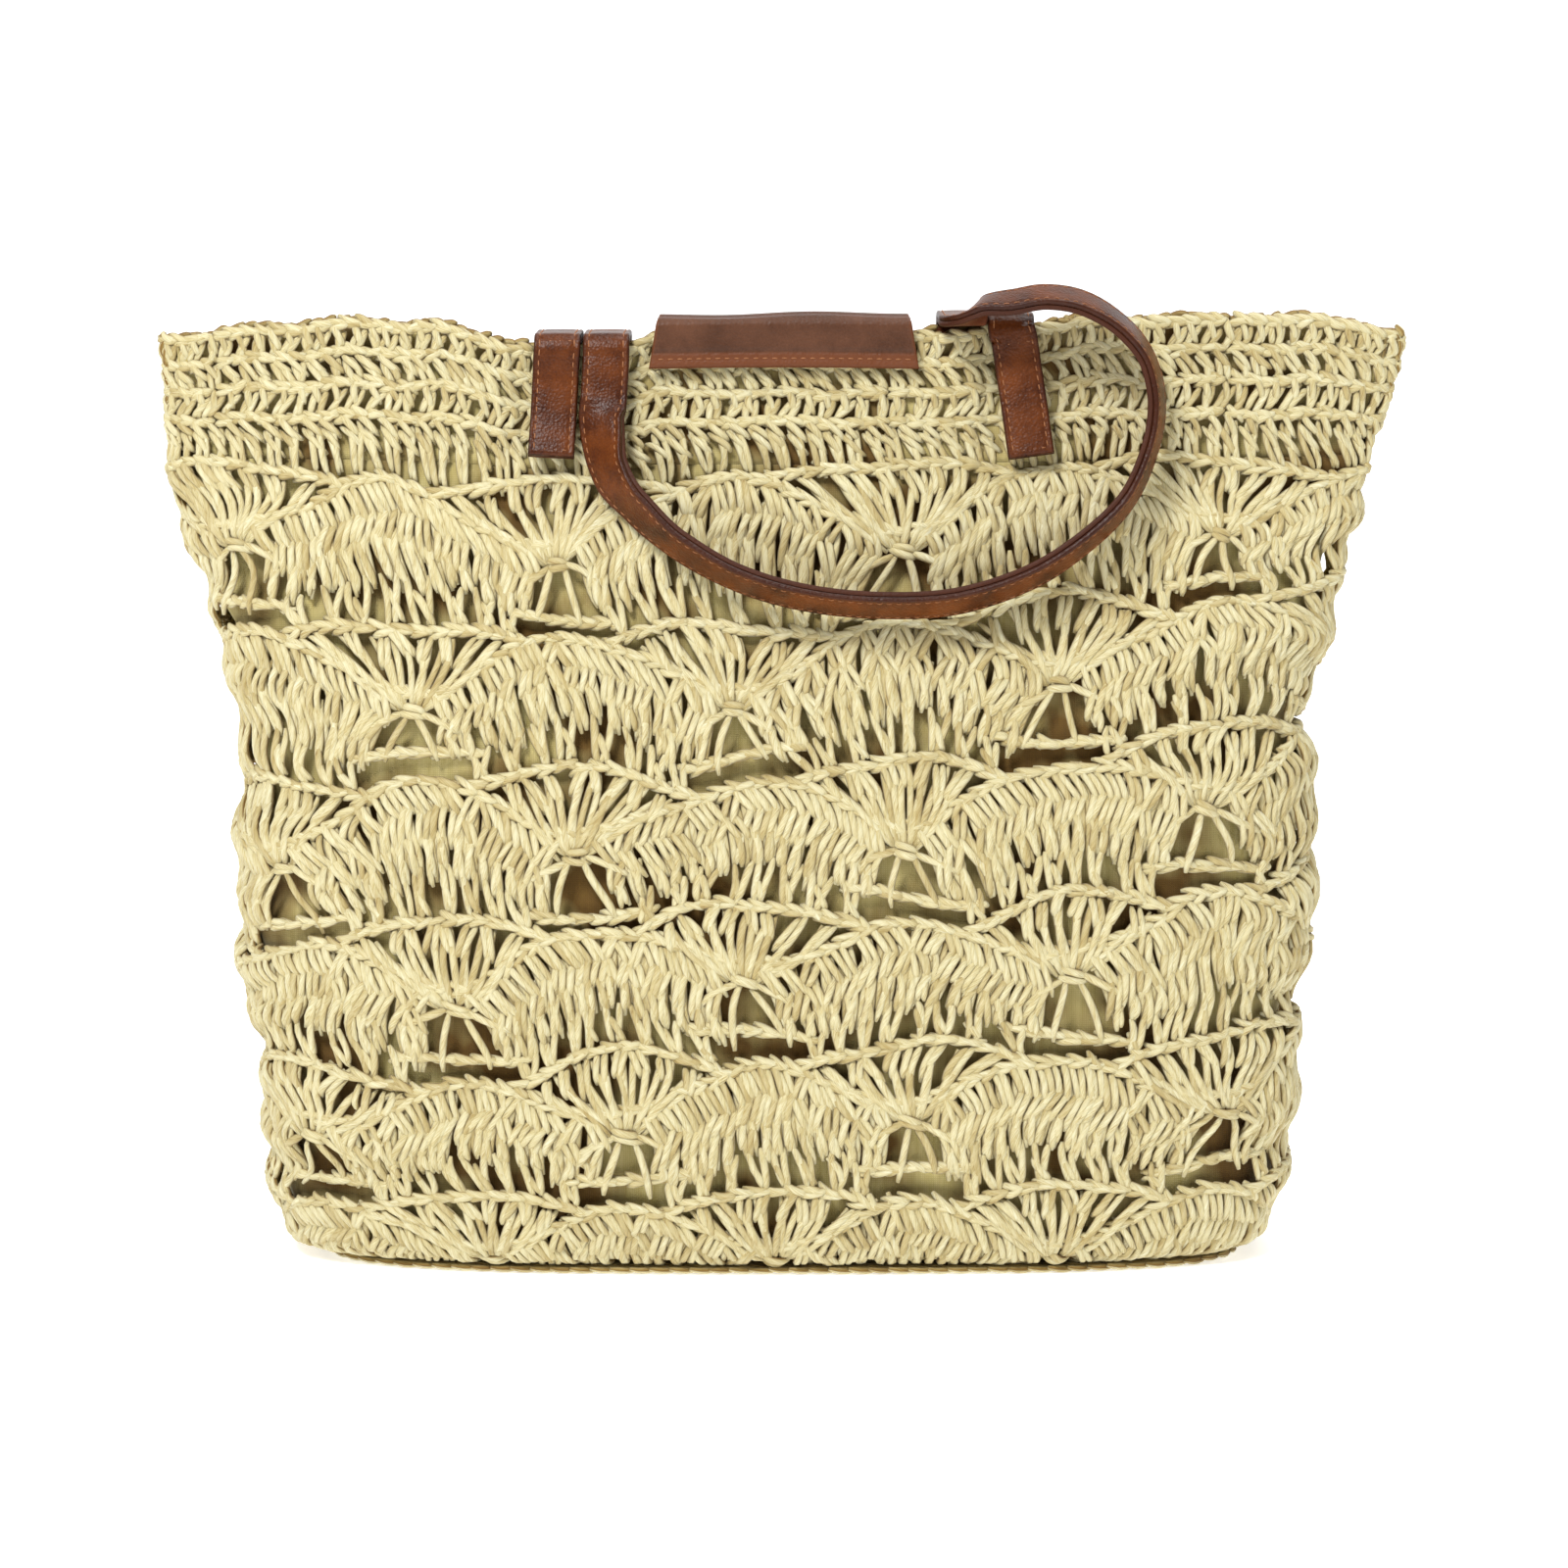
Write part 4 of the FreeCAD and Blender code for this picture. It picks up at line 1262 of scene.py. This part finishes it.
def aim(obj, target):
    """Turns an object so that it looks at a point."""
    direction = mathutils.Vector(target) - obj.location
    obj.rotation_euler = direction.to_track_quat("-Z", "Y").to_euler()


def make_studio():
    """White paper floor and backdrop, soft lights and a white surround."""
    start = PAPER_BACK - PAPER_BEND
    profile = [(PAPER_FRONT, 0.0), (start, 0.0)]
    for a in np.linspace(0, math.pi / 2, 24)[1:]:
        profile.append((start + PAPER_BEND * math.sin(a), PAPER_BEND * (1 - math.cos(a))))
    profile.append((PAPER_BACK, PAPER_TOP))
    vertices = [(x, y, z) for y, z in profile for x in (-PAPER_HALF_WIDTH, PAPER_HALF_WIDTH)]
    faces = [(2 * i, 2 * i + 1, 2 * i + 3, 2 * i + 2) for i in range(len(profile) - 1)]
    mesh = bpy.data.meshes.new("paper")
    mesh.from_pydata(vertices, [], faces)
    mesh.polygons.foreach_set("use_smooth", np.full(len(faces), True))
    white = Finish("paper_white")
    white.surface("Base Color", (0.9, 0.9, 0.9, 1.0))
    white.surface("Roughness", 0.9)
    white.surface("Emission Color", (1.0, 1.0, 1.0, 1.0))
    white.surface("Emission Strength", 0.55)
    mesh.materials.append(white.material)
    add_object("paper", mesh)
    for name, place, size, power in LAMPS:
        lamp = bpy.data.lights.new(name, "AREA")
        lamp.size = size
        lamp.energy = power
        obj = add_object(name, lamp)
        obj.location = place
        aim(obj, (0.0, 0.0, 0.17))
    world = bpy.data.worlds.new("surround")
    world.use_nodes = True
    world.node_tree.nodes["Background"].inputs["Color"].default_value = (1.0, 1.0, 1.0, 1.0)
    world.node_tree.nodes["Background"].inputs["Strength"].default_value = 0.32
    bpy.context.scene.world = world


def make_camera():
    """The camera in front of the bag, a little above its middle."""
    camera = bpy.data.cameras.new("camera")
    camera.sensor_width = 36.0
    camera.lens = 98.0
    obj = add_object("camera", camera)
    obj.location = (0.0, -1.5, 0.42)
    aim(obj, (0.0, 0.0, 0.168))
    bpy.context.scene.camera = obj
    bpy.context.scene.view_settings.view_transform = "Standard"


make_walls()
make_base()
make_lining()
make_handles()
make_closures()
make_studio()
make_camera()
